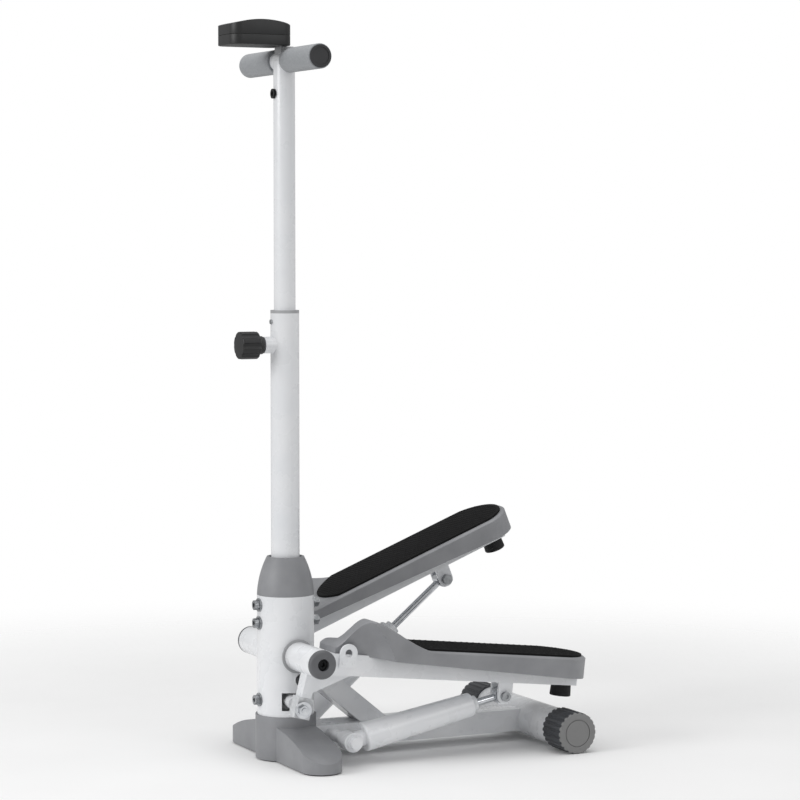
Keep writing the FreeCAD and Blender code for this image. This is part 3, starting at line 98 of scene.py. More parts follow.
class StepperPedals(bpy.types.PropertyGroup):
    """Sizes of the moulded footplates and their mats, in the pedal's own directions."""

    left_tilt: angle("Left tilt", "Left pedal's tilt at rest", -6.2)
    right_tilt: angle("Right tilt", "Right pedal's tilt at rest", 22.0)
    inner: distance("Inner side", "Arm's middle to the footplate's inner side", 58)
    outer: distance("Outer side", "Arm's middle to the footplate's outer side", 50)
    toe: distance("Toe", "Pivot to the footplate's front end", 27)
    nose: distance("Nose", "Pivot to the start of the rear rounding", 361)
    end: distance("End", "Pivot to the footplate's rear end", 403)
    corner: distance("Corner", "Radius of the front inner corner", 24)
    deck: distance("Deck", "Height of the deck over the pivot axis", 26)
    wall: distance("Wall", "Wall of the moulding", 3)
    rim: distance("Rim", "Rounding of the top edge", 2.6)
    skirt_front: distance("Front skirt", "Height of the lower edge at the front", 13)
    skirt_rear: distance("Rear skirt", "Height of the lower edge at the rear", -4)
    flare_start: distance("Flare start", "Across, where the toe guard's flare leaves the front", 11)
    flare_end: distance("Flare end", "Along, where the flare's foot meets the outer side", 98)
    flare_across: distance("Flare bend across", "A place across on the flare's foot", 20)
    flare_along: distance("Flare bend along", "The same place along", 73)
    ridge_end: distance("Ridge end", "Along, where the flare's top meets the outer side", 66)
    ridge_lean: distance("Ridge lean", "How far in the flare's top ends", 2)
    ridge_across: distance("Ridge bend across", "A place across on the flare's top", 25)
    ridge_along: distance("Ridge bend along", "The same place along", 50)
    lip: distance("Lip", "Height of the front lip", 23)
    lip_run: distance("Lip run", "Length over which the lip rises to the deck", 20)
    peak: distance("Peak", "Height of the toe guard's peak", 61)
    peak_along: distance("Peak place", "Pivot to the peak", 64)
    slope_start: distance("Slope start", "Across, the inner foot of the toe guard's slope", -40)
    slope_width: distance("Slope width", "Width of that slope", 56)
    mat_inset: distance("Mat inset", "Mat's distance from the footplate's edge", 6)
    mat_thick: distance("Mat thickness", "Mat's thickness", 3)
    mat_inner: distance("Mat inner front", "Pivot to the mat's front on the inner side", 112)
    mat_middle: distance("Mat middle front", "Pivot to the mat's front at the middle", 100)
    mat_outer: distance("Mat outer front", "Pivot to the mat's front on the outer side", 146)
    stud_pitch: distance("Stud pitch", "Spacing of the mat's studs", 5.2)
    stud_radius: distance("Stud radius", "Radius of a mat stud", 2.1)
    stud_height: distance("Stud height", "Height of a mat stud", 0.7)
    stud_margin: distance("Stud margin", "Plain border outside the studs", 1.4)


class StepperStage(bpy.types.PropertyGroup):
    """Camera and studio light."""

    azimuth: angle("Azimuth", "Camera's turn from straight in front", 64.6)
    pitch: angle("Pitch", "How far the camera looks down", 3.5)
    stand_x: distance("Camera x", "Camera's place left of the column", 3336)
    stand_y: distance("Camera y", "Camera's place behind the column", -1415)
    stand_z: distance("Camera z", "Camera's height", 700)
    aim_height: distance("Aim height", "Height that the softboxes point at", 450)
    floor_radius: distance("Floor radius", "Radius of the paper under the object", 1600)
    floor_plain: bpy.props.FloatProperty(
        name="Floor plain", description="Share of that radius before the paper fades", default=0.35,
    )
    surround: bpy.props.FloatProperty(
        name="Surround", description="Strength of the studio's even light", default=0.5,
    )
    lens: bpy.props.FloatProperty(
        name="Lens", description="Focal length in millimetres on a 36 mm sensor", default=122.94,
    )


# softboxes: name, place in metres, power in watts, width in metres
SOFTBOXES = (
    ("key_softbox", (0.2, -3.2, 1.7), 46.0, 1.6),
    ("side_softbox", (3.4, 1.4, 1.9), 14.0, 1.6),
    ("top_softbox", (0.3, 0.1, 3.0), 34.0, 2.6),
)
SENSOR = 36.0  # millimetres
FARTHEST = 60.0  # metres the camera sees
FLOOR_SIDES = 96


# ---------------------------------------------------------------- materials

TONE_SPREAD = (0.3, 0.7)  # noise levels of the darker and the lighter tone
LENS_BORDER = 5 * MM  # dark edge round the display's field
CAP_FACE = 2.2 * MM  # depth of the rear cap's lighter end face


def colour(code):
    """A linear colour from an sRGB hex code."""
    channels = [int(code[n : n + 2], 16) / 255 for n in (0, 2, 4)]
    linear = [c / 12.92 if c <= 0.04045 else ((c + 0.055) / 1.055) ** 2.4 for c in channels]
    return (*linear, 1.0)


def add(tree, kind, links=None, **settings):
    """Add a node; settings name its properties or its input sockets, links feed its inputs."""
    made = tree.nodes.new(kind)
    for name, value in settings.items():
        title = name.replace("_", " ")
        sockets = [s for s in made.inputs if s.name.lower() == title and s.enabled]
        if sockets:
            sockets[0].default_value = value
        else:
            setattr(made, name, value)
    for name, source in (links or {}).items():
        socket = made.inputs[name] if isinstance(name, int) else next(
            s for s in made.inputs if s.name == name and s.enabled
        )
        tree.links.new(source, socket)
    return made


def new_material(name, **surface):
    """A material with one principled shader, and its object coordinates."""
    material = bpy.data.materials.new(name)
    material.use_nodes = True
    tree = material.node_tree
    tree.nodes.clear()
    output = add(tree, "ShaderNodeOutputMaterial")
    shader = add(tree, "ShaderNodeBsdfPrincipled", **surface)
    tree.links.new(shader.outputs[0], output.inputs["Surface"])
    place = add(tree, "ShaderNodeTexCoord").outputs["Object"]
    return material, tree, shader, place


def noise(tree, place, grain_mm, detail):
    """Soft noise with a grain of a real size."""
    made = add(tree, "ShaderNodeTexNoise", {"Vector": place}, scale=1 / (grain_mm * MM), detail=detail)
    return made.outputs["Fac"]


def cells(tree, place, grain_mm):
    """Rounded cells of a real size."""
    made = add(tree, "ShaderNodeTexVoronoi", {"Vector": place}, scale=1 / (grain_mm * MM))
    return made.outputs["Distance"]


def maths(tree, operation, first, second=None):
    """The result of a math node on one socket, or on a socket and a number or socket."""
    made = add(tree, "ShaderNodeMath", {0: first}, operation=operation)
    if isinstance(second, bpy.types.NodeSocket):
        tree.links.new(second, made.inputs[1])
    elif second is not None:
        made.inputs[1].default_value = second
    return made.outputs[0]


def two_tone(tree, shader, place, dark, light, grain_mm, detail=3.0):
    """Vary the colour between two near tones over a grain of a real size."""
    ramp = add(tree, "ShaderNodeValToRGB", {"Fac": noise(tree, place, grain_mm, detail)})
    for element, code, position in zip(ramp.color_ramp.elements, (dark, light), TONE_SPREAD):
        element.color = colour(code)
        element.position = position
    tree.links.new(ramp.outputs["Color"], shader.inputs["Base Color"])


def two_part(tree, shader, factor, outside, within):
    """One plain colour where the factor is 0, and another where it is 1."""
    tone = add(tree, "ShaderNodeMix", {"Factor": factor}, data_type="RGBA",
               a=colour(outside), b=colour(within))
    result = next(s for s in tone.outputs if s.enabled)
    tree.links.new(result, shader.inputs["Base Color"])


def worn_gloss(tree, shader, place, low, high, patch_mm):
    """Vary the roughness over patches of a real size, as handling leaves it."""
    patches = noise(tree, place, patch_mm, 4.0)
    spread = add(tree, "ShaderNodeMapRange", {"Value": patches}, to_min=low, to_max=high)
    tree.links.new(spread.outputs["Result"], shader.inputs["Roughness"])


def relief(tree, shader, height, depth_mm, strength):
    """Raise a pattern by a real depth."""
    bump = add(tree, "ShaderNodeBump", {"Height": height}, strength=strength, distance=depth_mm * MM)
    tree.links.new(bump.outputs["Normal"], shader.inputs["Normal"])


def powder_coated_steel():
    """Gloss polyester powder coat on steel tube: a hard white skin with a faint orange peel."""
    material, tree, shader, place = new_material(
        "powder_coated_steel", ior=1.5, coat_weight=0.35, coat_roughness=0.12
    )
    two_tone(tree, shader, place, "dfe1e4", "e7e8ea", 60)
    worn_gloss(tree, shader, place, 0.22, 0.34, 25)
    relief(tree, shader, noise(tree, place, 2.4, 2.0), 0.02, 0.25)
    return material


def moulded_plastic(name, dark, light):
    """Injection-moulded ABS or acetal with a spark-eroded grain: its shine is broken and satin."""
    material, tree, shader, place = new_material(name, ior=1.53)
    two_tone(tree, shader, place, dark, light, 35)
    worn_gloss(tree, shader, place, 0.42, 0.55, 18)
    relief(tree, shader, cells(tree, place, 0.9), 0.04, 0.35)
    return material


def mat_rubber():
    """Moulded SBR rubber: near black, dull, with a fine sanded grain between the studs."""
    material, tree, shader, place = new_material("moulded_rubber_mat", ior=1.52, specular_ior_level=0.2)
    two_tone(tree, shader, place, "060607", "0c0c0d", 12)
    worn_gloss(tree, shader, place, 0.7, 0.85, 9)
    relief(tree, shader, noise(tree, place, 0.5, 4.0), 0.08, 0.6)
    return material


def stop_rubber():
    """Black buffer rubber: dull, with a faint bloom that lightens it in patches."""
    material, tree, shader, place = new_material("buffer_rubber", ior=1.52, specular_ior_level=0.3)
    two_tone(tree, shader, place, "111112", "1f1f20", 7)
    worn_gloss(tree, shader, place, 0.55, 0.75, 6)
    relief(tree, shader, noise(tree, place, 0.8, 3.0), 0.06, 0.5)
    return material


def nbr_foam():
    """Closed-cell NBR foam sleeve: soft grey with open pores, so no sharp highlight."""
    material, tree, shader, place = new_material(
        "nbr_foam", ior=1.45, sheen_weight=0.25, sheen_roughness=0.6
    )
    two_tone(tree, shader, place, "7f8286", "96999c", 1.6, 5.0)
    worn_gloss(tree, shader, place, 0.78, 0.92, 12)
    relief(tree, shader, cells(tree, place, 1.1), 0.25, 0.7)
    return material


def chromed_steel():
    """Hard chrome on ground bar: a near mirror with a faint grinding haze."""
    material, tree, shader, place = new_material("hard_chrome", metallic=1.0)
    two_tone(tree, shader, place, "b9bcc0", "d3d5d8", 8)
    worn_gloss(tree, shader, place, 0.08, 0.2, 5)
    relief(tree, shader, noise(tree, place, 0.6, 2.0), 0.01, 0.3)
    return material


def zinc_plate():
    """Bright zinc on cold-formed fasteners: a grey metal with soft blurred highlights."""
    material, tree, shader, place = new_material("bright_zinc", metallic=1.0)
    two_tone(tree, shader, place, "8e9194", "b0b2b4", 4)
    worn_gloss(tree, shader, place, 0.24, 0.42, 3)
    relief(tree, shader, noise(tree, place, 0.4, 3.0), 0.02, 0.4)
    return material


def cast_iron_painted():
    """A painted casting: the paint follows a pebbled sand-cast skin."""
    material, tree, shader, place = new_material("painted_casting", ior=1.5)
    two_tone(tree, shader, place, "b4b6b9", "d0d2d4", 5)
    worn_gloss(tree, shader, place, 0.38, 0.55, 6)
    relief(tree, shader, noise(tree, place, 1.4, 5.0), 0.3, 0.8)
    return material


def black_oxide():
    """Black-oxide socket screw: dark oiled steel that still glints on its edges."""
    material, tree, shader, place = new_material("black_oxide_steel", metallic=0.85)
    two_tone(tree, shader, place, "131314", "242527", 3)
    worn_gloss(tree, shader, place, 0.3, 0.48, 2)
    return material


def display_lens():
    """Tinted polycarbonate window: smooth and dark, with the display's grey field behind it."""
    material, tree, shader, place = new_material(
        "tinted_polycarbonate", ior=1.58, roughness=0.08, coat_weight=0.6, coat_roughness=0.05
    )
    split = add(tree, "ShaderNodeSeparateXYZ", {"Vector": place})
    within = []
    for axis, low, high in zip("XY", *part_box("monitor_lens")):
        off = maths(tree, "SUBTRACT", split.outputs[axis], (low + high) / 2)
        reach = (high - low) / 2 - LENS_BORDER
        within.append(maths(tree, "LESS_THAN", maths(tree, "ABSOLUTE", off), reach))
    two_part(tree, shader, maths(tree, "MULTIPLY", *within), "141516", "6f7772")
    return material


def ribbed_cap():
    """Moulded PP end cap: a darker ribbed side and a lighter end face."""
    material, tree, shader, place = new_material("moulded_ribbed_cap", ior=1.49)
    reach = max(abs(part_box("left_rear_cap")[1][0]), abs(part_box("right_rear_cap")[0][0]))
    split = add(tree, "ShaderNodeSeparateXYZ", {"Vector": place})
    away = maths(tree, "ABSOLUTE", split.outputs["X"])
    face = maths(tree, "GREATER_THAN", away, reach - CAP_FACE)
    # the side is coloured darker and the end face lighter
    two_part(tree, shader, face, "3a3c40", "7b7b7b")
    worn_gloss(tree, shader, place, 0.4, 0.55, 12)
    relief(tree, shader, cells(tree, place, 0.9), 0.04, 0.35)
    return material


# ---------------------------------------------------------------- meshes

WELD = 1e-6  # metres between points that are one
NODE_WELD = 2e-6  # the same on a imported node
PLATE_WELD = 2e-5  # the same on a footplate
NODE_FLAT = math.radians(1)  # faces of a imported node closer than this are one
BEVEL_FROM = math.radians(50)  # edges sharper than this are rounded
BEVEL_STEPS = 3
SHARP = math.radians(35)  # edges sharper than this are shaded as edges
NODE_SHARP = math.radians(40)
PLATE_SHARP = math.radians(32)


def make_object(name, vertices, faces, material):
    """A new object at the origin from vertices in place."""
    mesh = bpy.data.meshes.new(name)
    mesh.from_pydata([tuple(v) for v in vertices], [], faces)
    mesh.materials.append(material)
    made = bpy.data.objects.new(name, mesh)
    bpy.context.scene.collection.objects.link(made)
    return made


def shade(made, sharp):
    """Shade smooth up to an angle."""
    made.data.shade_smooth()
    made.data.set_sharp_from_angle(angle=sharp)


def tidy_mesh(made, weld):
    """Merge doubles, point faces outwards and shade smooth."""
    form = bmesh.new()
    form.from_mesh(made.data)
    bmesh.ops.remove_doubles(form, verts=form.verts, dist=weld)
    bmesh.ops.dissolve_degenerate(form, edges=form.edges, dist=weld)
    bmesh.ops.recalc_face_normals(form, faces=form.faces)
    form.to_mesh(made.data)
    form.free()
    shade(made, SHARP)


def apply_modifiers(made):
    """Turn the evaluated object into its plain mesh."""
    graph = bpy.context.evaluated_depsgraph_get()
    mesh = bpy.data.meshes.new_from_object(made.evaluated_get(graph))
    made.modifiers.clear()
    old, made.data = made.data, mesh
    mesh.name = made.name
    bpy.data.meshes.remove(old)


def soft_edged(node, width_mm, material):
    """A copy of a node whose sharp edges are rounded, which stands in for it."""
    source = frame["nodes"][node]
    made = bpy.data.objects.new(f"{node}_finish", source.data.copy())
    bpy.context.scene.collection.objects.link(made)
    made.data.materials.clear()
    made.data.materials.append(material)
    form = bmesh.new()
    form.from_mesh(made.data)
    bmesh.ops.remove_doubles(form, verts=form.verts, dist=NODE_WELD)
    bmesh.ops.dissolve_limit(form, angle_limit=NODE_FLAT, verts=form.verts, edges=form.edges)
    form.to_mesh(made.data)
    form.free()
    if made.data.has_custom_normals:
        with bpy.context.temp_override(object=made, active_object=made):
            bpy.ops.mesh.customdata_custom_splitnormals_clear()
    bevel = made.modifiers.new("rounding", "BEVEL")
    bevel.width = width_mm * MM
    bevel.segments = BEVEL_STEPS
    bevel.limit_method = "ANGLE"
    bevel.angle_limit = BEVEL_FROM
    bevel.miter_outer = "MITER_ARC"
    bevel.use_clamp_overlap = True
    apply_modifiers(made)
    shade(made, NODE_SHARP)
    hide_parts(node)
    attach(made, source["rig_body"])


def finish_node(node, material):
    """Give a node's own mesh a finish."""
    mesh = frame["nodes"][node].data
    mesh.materials.clear()
    mesh.materials.append(material)


# ---------------------------------------------------------------- footplates

SIDE_STEPS, REAR_STEPS, FLARE_STEPS, FRONT_STEPS = 56, 40, 36, 12  # points of a footplate's outline
MAT_SIDE_STEPS, MAT_REAR_STEPS, MAT_FRONT_STEPS = 60, 44, 40  # points of a mat's outline
CORNER_CUT = 0.29  # middle of a corner's arc from its sides, over its radius
BOW_LIMIT = 1.4  # how far the mat's front goes on bowing past its sides
FRONT_ROUND = 0.9  # under 1 makes the toe guard rise sooner
REAR_ROUND = 0.45  # share of the toe guard's fall that is rounded, the rest straight
WALL_STEPS = (0.0, 0.2, 0.4, 0.6, 0.8, 1.0)  # rings up the side, over its height
WALL_CURVE = 1.3  # over 1 makes the flare hollow
RIM_STEPS = ((0.25, 0.29), (0.6, 0.7), (1.0, 1.0))  # rings round the rim: inwards and upwards
RIM_SPREAD = 1.2  # how much wider the rim is than it is high
SPINE_FRONT, SPINE_REAR = 50.0, 14.0  # ends of the top's middle line, in from the outline
TOP_START, TOP_STEPS = 0.08, 18  # first ring of the top, over the way in, and the rings after it
STUD_TAPER = 0.55  # a stud's top over its foot
STUD_SIDES = 6
STUD_SINK = 0.05  # millimetres that a stud starts in the mat
STUD_ROW = 0.866  # rows of a staggered grid, over its pitch
STUD_FIRST, STUD_HALF = 92.0, 60.0  # first row along, and half the grid's width, in millimetres
MAT_SUNK, MAT_EDGE, MAT_ROUND = 0.8, 0.25, 0.9  # mat's depth in the deck, and its top edge's rounding


def smooth(t):
    """An eased step from 0 to 1."""
    t = min(1.0, max(0.0, t))
    return t * t * (3 - 2 * t)


def arc(start, middle, stop, count):
    """Points along the circle through three points, without the last one."""
    (ax, ay), (bx, by), (cx, cy) = start, middle, stop
    d = 2 * (ax * (by - cy) + bx * (cy - ay) + cx * (ay - by))
    a2, b2, c2 = ax * ax + ay * ay, bx * bx + by * by, cx * cx + cy * cy
    ux = (a2 * (by - cy) + b2 * (cy - ay) + c2 * (ay - by)) / d
    uy = (a2 * (cx - bx) + b2 * (ax - cx) + c2 * (bx - ax)) / d
    radius = math.hypot(ax - ux, ay - uy)
    turns = [math.atan2(y - uy, x - ux) for x, y in (start, middle, stop)]
    sweep = (turns[2] - turns[0]) % (2 * math.pi)
    if (turns[1] - turns[0]) % (2 * math.pi) > sweep:
        sweep -= 2 * math.pi
    steps = [turns[0] + sweep * n / count for n in range(count)]
    return [(ux + radius * math.cos(t), uy + radius * math.sin(t)) for t in steps]


def straight(start, stop, count):
    """Points along a line, without the last one."""
    return [
        (start[0] + (stop[0] - start[0]) * n / count, start[1] + (stop[1] - start[1]) * n / count)
        for n in range(count)
    ]


class PedalForm:
    """The footplate's curves, in millimetres round the pivot axis."""

    def __init__(self, sizes):
        for name in StepperPedals.__annotations__:
            if not name.endswith("tilt"):
                setattr(self, name, getattr(sizes, name) / MM)
        self.middle = (self.outer - self.inner) / 2

    def plan(self, top):
        """The outline's corners in order; the flare's upper edge leans forward of its foot."""
        inner, outer, toe, corner = self.inner, self.outer, self.toe, self.corner
        if top:
            flare = (outer - self.ridge_lean, self.ridge_end)
            bend = (self.ridge_across, self.ridge_along)
        else:
            flare = (outer, self.flare_end)
            bend = (self.flare_across, self.flare_along)
        cut = corner * CORNER_CUT
        return [
            *straight((-inner, toe + corner), (-inner, self.nose), SIDE_STEPS),
            *arc((-inner, self.nose), (self.middle, self.end), (outer, self.nose), REAR_STEPS),
            *straight((outer, self.nose), flare, SIDE_STEPS),
            *arc(flare, bend, (self.flare_start, toe), FLARE_STEPS),
            *straight((self.flare_start, toe), (-inner + corner, toe), FRONT_STEPS),
            *arc((-inner + corner, toe), (-inner + cut, toe + cut), (-inner, toe + corner), FRONT_STEPS),
        ]

    def foot(self, x):
        """Where the toe guard meets the deck, along the arm: the mat's front edge."""
        half = self.outer - self.mat_inset - self.middle
        t = (x - self.middle) / half
        bow = (self.mat_inner + self.mat_outer) / 2 - self.mat_middle
        return self.mat_middle + (self.mat_outer - self.mat_inner) / 2 * t + bow * min(t * t, BOW_LIMIT)

    def height(self, x, along):
        """The top surface: a toe guard that falls inwards and to the rear, then the deck."""
        if along <= self.peak_along:
            t = (along - self.toe) / (self.peak_along - self.toe)
            ridge = self.lip + (self.peak - self.lip) * smooth(t ** FRONT_ROUND if t > 0 else 0)
        else:
            t = (along - self.peak_along) / max(1.0, self.foot(x) - self.peak_along)
            fall = 1 - (REAR_ROUND * smooth(t) + (1 - REAR_ROUND) * min(1.0, t))
            ridge = self.deck + (self.peak - self.deck) * fall
        across = smooth((x - self.slope_start) / self.slope_width)
        base = self.lip + (self.deck - self.lip) * smooth((along - self.toe) / self.lip_run)
        return base + max(0.0, ridge - base) * across

    def skirt_at(self, along):
        """Height of the lower edge."""
        t = (along - self.toe) / (self.end - self.toe)
        return self.skirt_front + (self.skirt_rear - self.skirt_front) * t


def to_world(side_name, side, sizes):
    """The matrix from a pedal's own directions, in millimetres, to the frame."""
    joint = next(j for j in frame["joints"] if j["name"] == f"{side_name}_pedal_swing")
    tilt = sizes.left_tilt if side > 0 else sizes.right_tilt
    scale = Matrix.Diagonal((side * MM, MM, MM, 1.0))
    return Matrix.Translation(Vector(joint["pos_m"])) @ Matrix.Rotation(tilt, 4, "X") @ scale


def ring_faces(rings, count):
    """Quads that join closed rings of the same number of points, each to the next."""
    return [
        (r * count + n, r * count + (n + 1) % count, (r + 1) * count + (n + 1) % count,
         (r + 1) * count + n)
        for r in range(rings - 1)
        for n in range(count)
    ]


def footplate_mesh(form):
    """Rings of the moulding: skirt, rounded rim, then the top towards a middle line."""
    foot, crest = form.plan(False), form.plan(True)
    vertices = []
    for step in WALL_STEPS:
        ease = step ** WALL_CURVE
        for (fx, fa), (cx, ca) in zip(foot, crest):
            low, high = form.skirt_at(fa), form.height(cx, ca) - form.rim
            vertices.append((fx + (cx - fx) * ease, fa + (ca - fa) * ease, low + (high - low) * step))

    def ring(share, drop, span=None):
        """Points a share of the way to the middle line, dropped from the top surface."""
        for cx, ca in crest:
            sx = form.middle
            sa = min(max(ca, form.toe + SPINE_FRONT), form.nose - SPINE_REAR)
            t = share if span is None else form.rim * share * (span / math.hypot(sx - cx, sa - ca))
            x, a = cx + (sx - cx) * t, ca + (sa - ca) * t
            vertices.append((x, a, form.height(x, a) - drop))

    for inward, rise in RIM_STEPS:
        ring(inward, form.rim * (1 - rise), RIM_SPREAD)
    for n in range(TOP_STEPS + 1):
        ring(TOP_START + (1 - TOP_START) * (n / TOP_STEPS), 0.0)
    rings = len(WALL_STEPS) + len(RIM_STEPS) + TOP_STEPS + 1
    return vertices, ring_faces(rings, len(crest))


def mat_outline(form, inset=0.0):
    """The mat's edge: parallel sides, a rounded rear end and a swept front."""
    margin = form.mat_inset + inset
    inner, outer, rear = form.inner - margin, form.outer - margin, form.end - margin
    across = [outer - (outer + inner) * n / MAT_FRONT_STEPS for n in range(MAT_FRONT_STEPS + 1)]
    front = [(x, form.foot(x) + inset) for x in across]
    return [
        *straight((-inner, front[-1][1]), (-inner, form.nose), MAT_SIDE_STEPS)[1:],
        *arc((-inner, form.nose), (form.middle, rear), (outer, form.nose), MAT_REAR_STEPS),
        *straight((outer, form.nose), (outer, front[0][1]), MAT_SIDE_STEPS),
        *front,
    ]


def inside(point, outline):
    """Whether a point lies within a closed outline."""
    x, y = point
    hit = False
    for (ax, ay), (bx, by) in zip(outline, outline[1:] + outline[:1]):
        if (ay > y) != (by > y) and x < (bx - ax) * (y - ay) / (by - ay) + ax:
            hit = not hit
    return hit


def stud_tree(material):
    """Geometry nodes that set a low six-sided stud on every point."""
    tree = bpy.data.node_groups.new("mat_studs", "GeometryNodeTree")
    tree.interface.new_socket("Geometry", in_out="INPUT", socket_type="NodeSocketGeometry")
    sockets = {
        name: tree.interface.new_socket(name, in_out="INPUT", socket_type="NodeSocketFloat")
        for name in ("Stud Radius", "Stud Height")
    }
    tree.interface.new_socket("Geometry", in_out="OUTPUT", socket_type="NodeSocketGeometry")
    given = add(tree, "NodeGroupInput")
    taper = maths(tree, "MULTIPLY", given.outputs["Stud Radius"], STUD_TAPER)
    stud = add(
        tree,
        "GeometryNodeMeshCone",
        {"Radius Bottom": given.outputs["Stud Radius"], "Radius Top": taper,
         "Depth": given.outputs["Stud Height"]},
        vertices=STUD_SIDES,
    )
    placed = add(
        tree,
        "GeometryNodeInstanceOnPoints",
        {"Points": given.outputs["Geometry"], "Instance": stud.outputs["Mesh"]},
    )
    real = add(tree, "GeometryNodeRealizeInstances", {"Geometry": placed.outputs[0]})
    dressed = add(tree, "GeometryNodeSetMaterial", {"Geometry": real.outputs[0]}, material=material)
    output = add(tree, "NodeGroupOutput")
    tree.links.new(dressed.outputs[0], output.inputs[0])
    return tree, {name: socket.identifier for name, socket in sockets.items()}


# ---------------------------------------------------------------- operators

MATERIALS = {}  # by finish, filled by the finishes operator
# moulded plastics: material, darker and lighter tone
PLASTICS = {
    "grey_abs": ("moulded_grey_abs", "808184", "8c8d90"),
    "cap_abs": ("moulded_dark_abs", "56575a", "646568"),
    "plug_abs": ("moulded_black_plug", "1d1e20", "29292c"),
    "black_abs": ("moulded_black_abs", "141415", "1e1f20"),
    "pale_acetal": ("moulded_pale_acetal", "9b9c9e", "a9aaac"),
}
# nodes by finish
FINISHES = {
    "powder_coated_steel": (
        "column_tube main_beam beam_brace rear_crossbar lower_mast upper_mast rocker_beam"
        " left_pedal_arm right_pedal_arm left_band_hook right_band_hook left_damper_tube"
        " right_damper_tube damper_axle_nuts left_damper_gland right_damper_gland"
    ),
    "grey_abs": "front_foot_cover column_collar",
    "cap_abs": "left_hub_cap right_hub_cap monitor_button",
    "plug_abs": "grip_plugs",
    "black_abs": "monitor_case_lower monitor_case_upper lock_knob",
    "pale_acetal": "mast_bushing monitor_bracket pivot_shims left_hub_bushes right_hub_bushes",
    "ribbed_cap": "left_rear_cap right_rear_cap",
    "nbr_foam": "left_grip right_grip",
    "chromed_steel": "lock_spindle rocker_studs left_damper_rod right_damper_rod",
    "zinc_plate": (
        "mast_bolts bushing_screw rocker_bracket rocker_bracket_bolt rocker_pin"
        " pivot_axle damper_axle left_clevis_bolt right_clevis_bolt"
    ),
    "casting": "left_knuckle right_knuckle",
    "black_oxide": "axle_end_bolts handle_screw",
    "stop_rubber": "left_stopper right_stopper foot_pads",
    "display_lens": "monitor_lens",
}
# edge rounding of folded, cast and moulded nodes, in millimetres
ROUNDED = {
    "front_foot_cover": 2.5,
    "left_pedal_arm": 2.2,
    "right_pedal_arm": 2.2,
    "main_beam": 2.5,
    "beam_brace": 2.5,
    "left_band_hook": 0.7,
    "right_band_hook": 0.7,
    "left_knuckle": 1.6,
    "right_knuckle": 1.6,
    "monitor_case_upper": 1.6,
    "monitor_case_lower": 1.6,
    "monitor_bracket": 1.2,
    "column_collar": 0.8,
}


class STEPPER_OT_finishes(bpy.types.Operator):
    """Give every node its finish, and round the edges of the folded and moulded ones"""

    bl_idname = "stepper.finishes"
    bl_label = "Finishes"

    def execute(self, context):
        makers = {
            "powder_coated_steel": powder_coated_steel,
            "ribbed_cap": ribbed_cap,
            "nbr_foam": nbr_foam,
            "chromed_steel": chromed_steel,
            "zinc_plate": zinc_plate,
            "casting": cast_iron_painted,
            "black_oxide": black_oxide,
            "stop_rubber": stop_rubber,
            "display_lens": display_lens,
            "mat_rubber": mat_rubber,
        }
        for key, plastic in PLASTICS.items():
            MATERIALS[key] = moulded_plastic(*plastic)
        for key, maker in makers.items():
            MATERIALS[key] = maker()
        for key, names in FINISHES.items():
            for node in names.split():
                if node in ROUNDED:
                    soft_edged(node, ROUNDED[node], MATERIALS[key])
                else:
                    finish_node(node, MATERIALS[key])
        return {"FINISHED"}


class STEPPER_OT_footplates(bpy.types.Operator):
    """Model the moulded footplates with their toe guards"""

    bl_idname = "stepper.footplates"
    bl_label = "Footplates"

    def execute(self, context):
        sizes = context.scene.stepper_pedals
        form = PedalForm(sizes)
        for name, side in SIDES:
            place = to_world(name, side, sizes)
            vertices, faces = footplate_mesh(form)
            placed = [place @ Vector(corner) for corner in vertices]
            made = make_object(f"{name}_footplate", placed, faces, MATERIALS["grey_abs"])
            tidy_mesh(made, PLATE_WELD)
            wall = made.modifiers.new("wall", "SOLIDIFY")
            wall.thickness = sizes.wall
            wall.offset = -1.0
            apply_modifiers(made)
            shade(made, PLATE_SHARP)
            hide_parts(f"{name}_pedal_shell")
            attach(made, f"{name}_pedal")
        return {"FINISHED"}


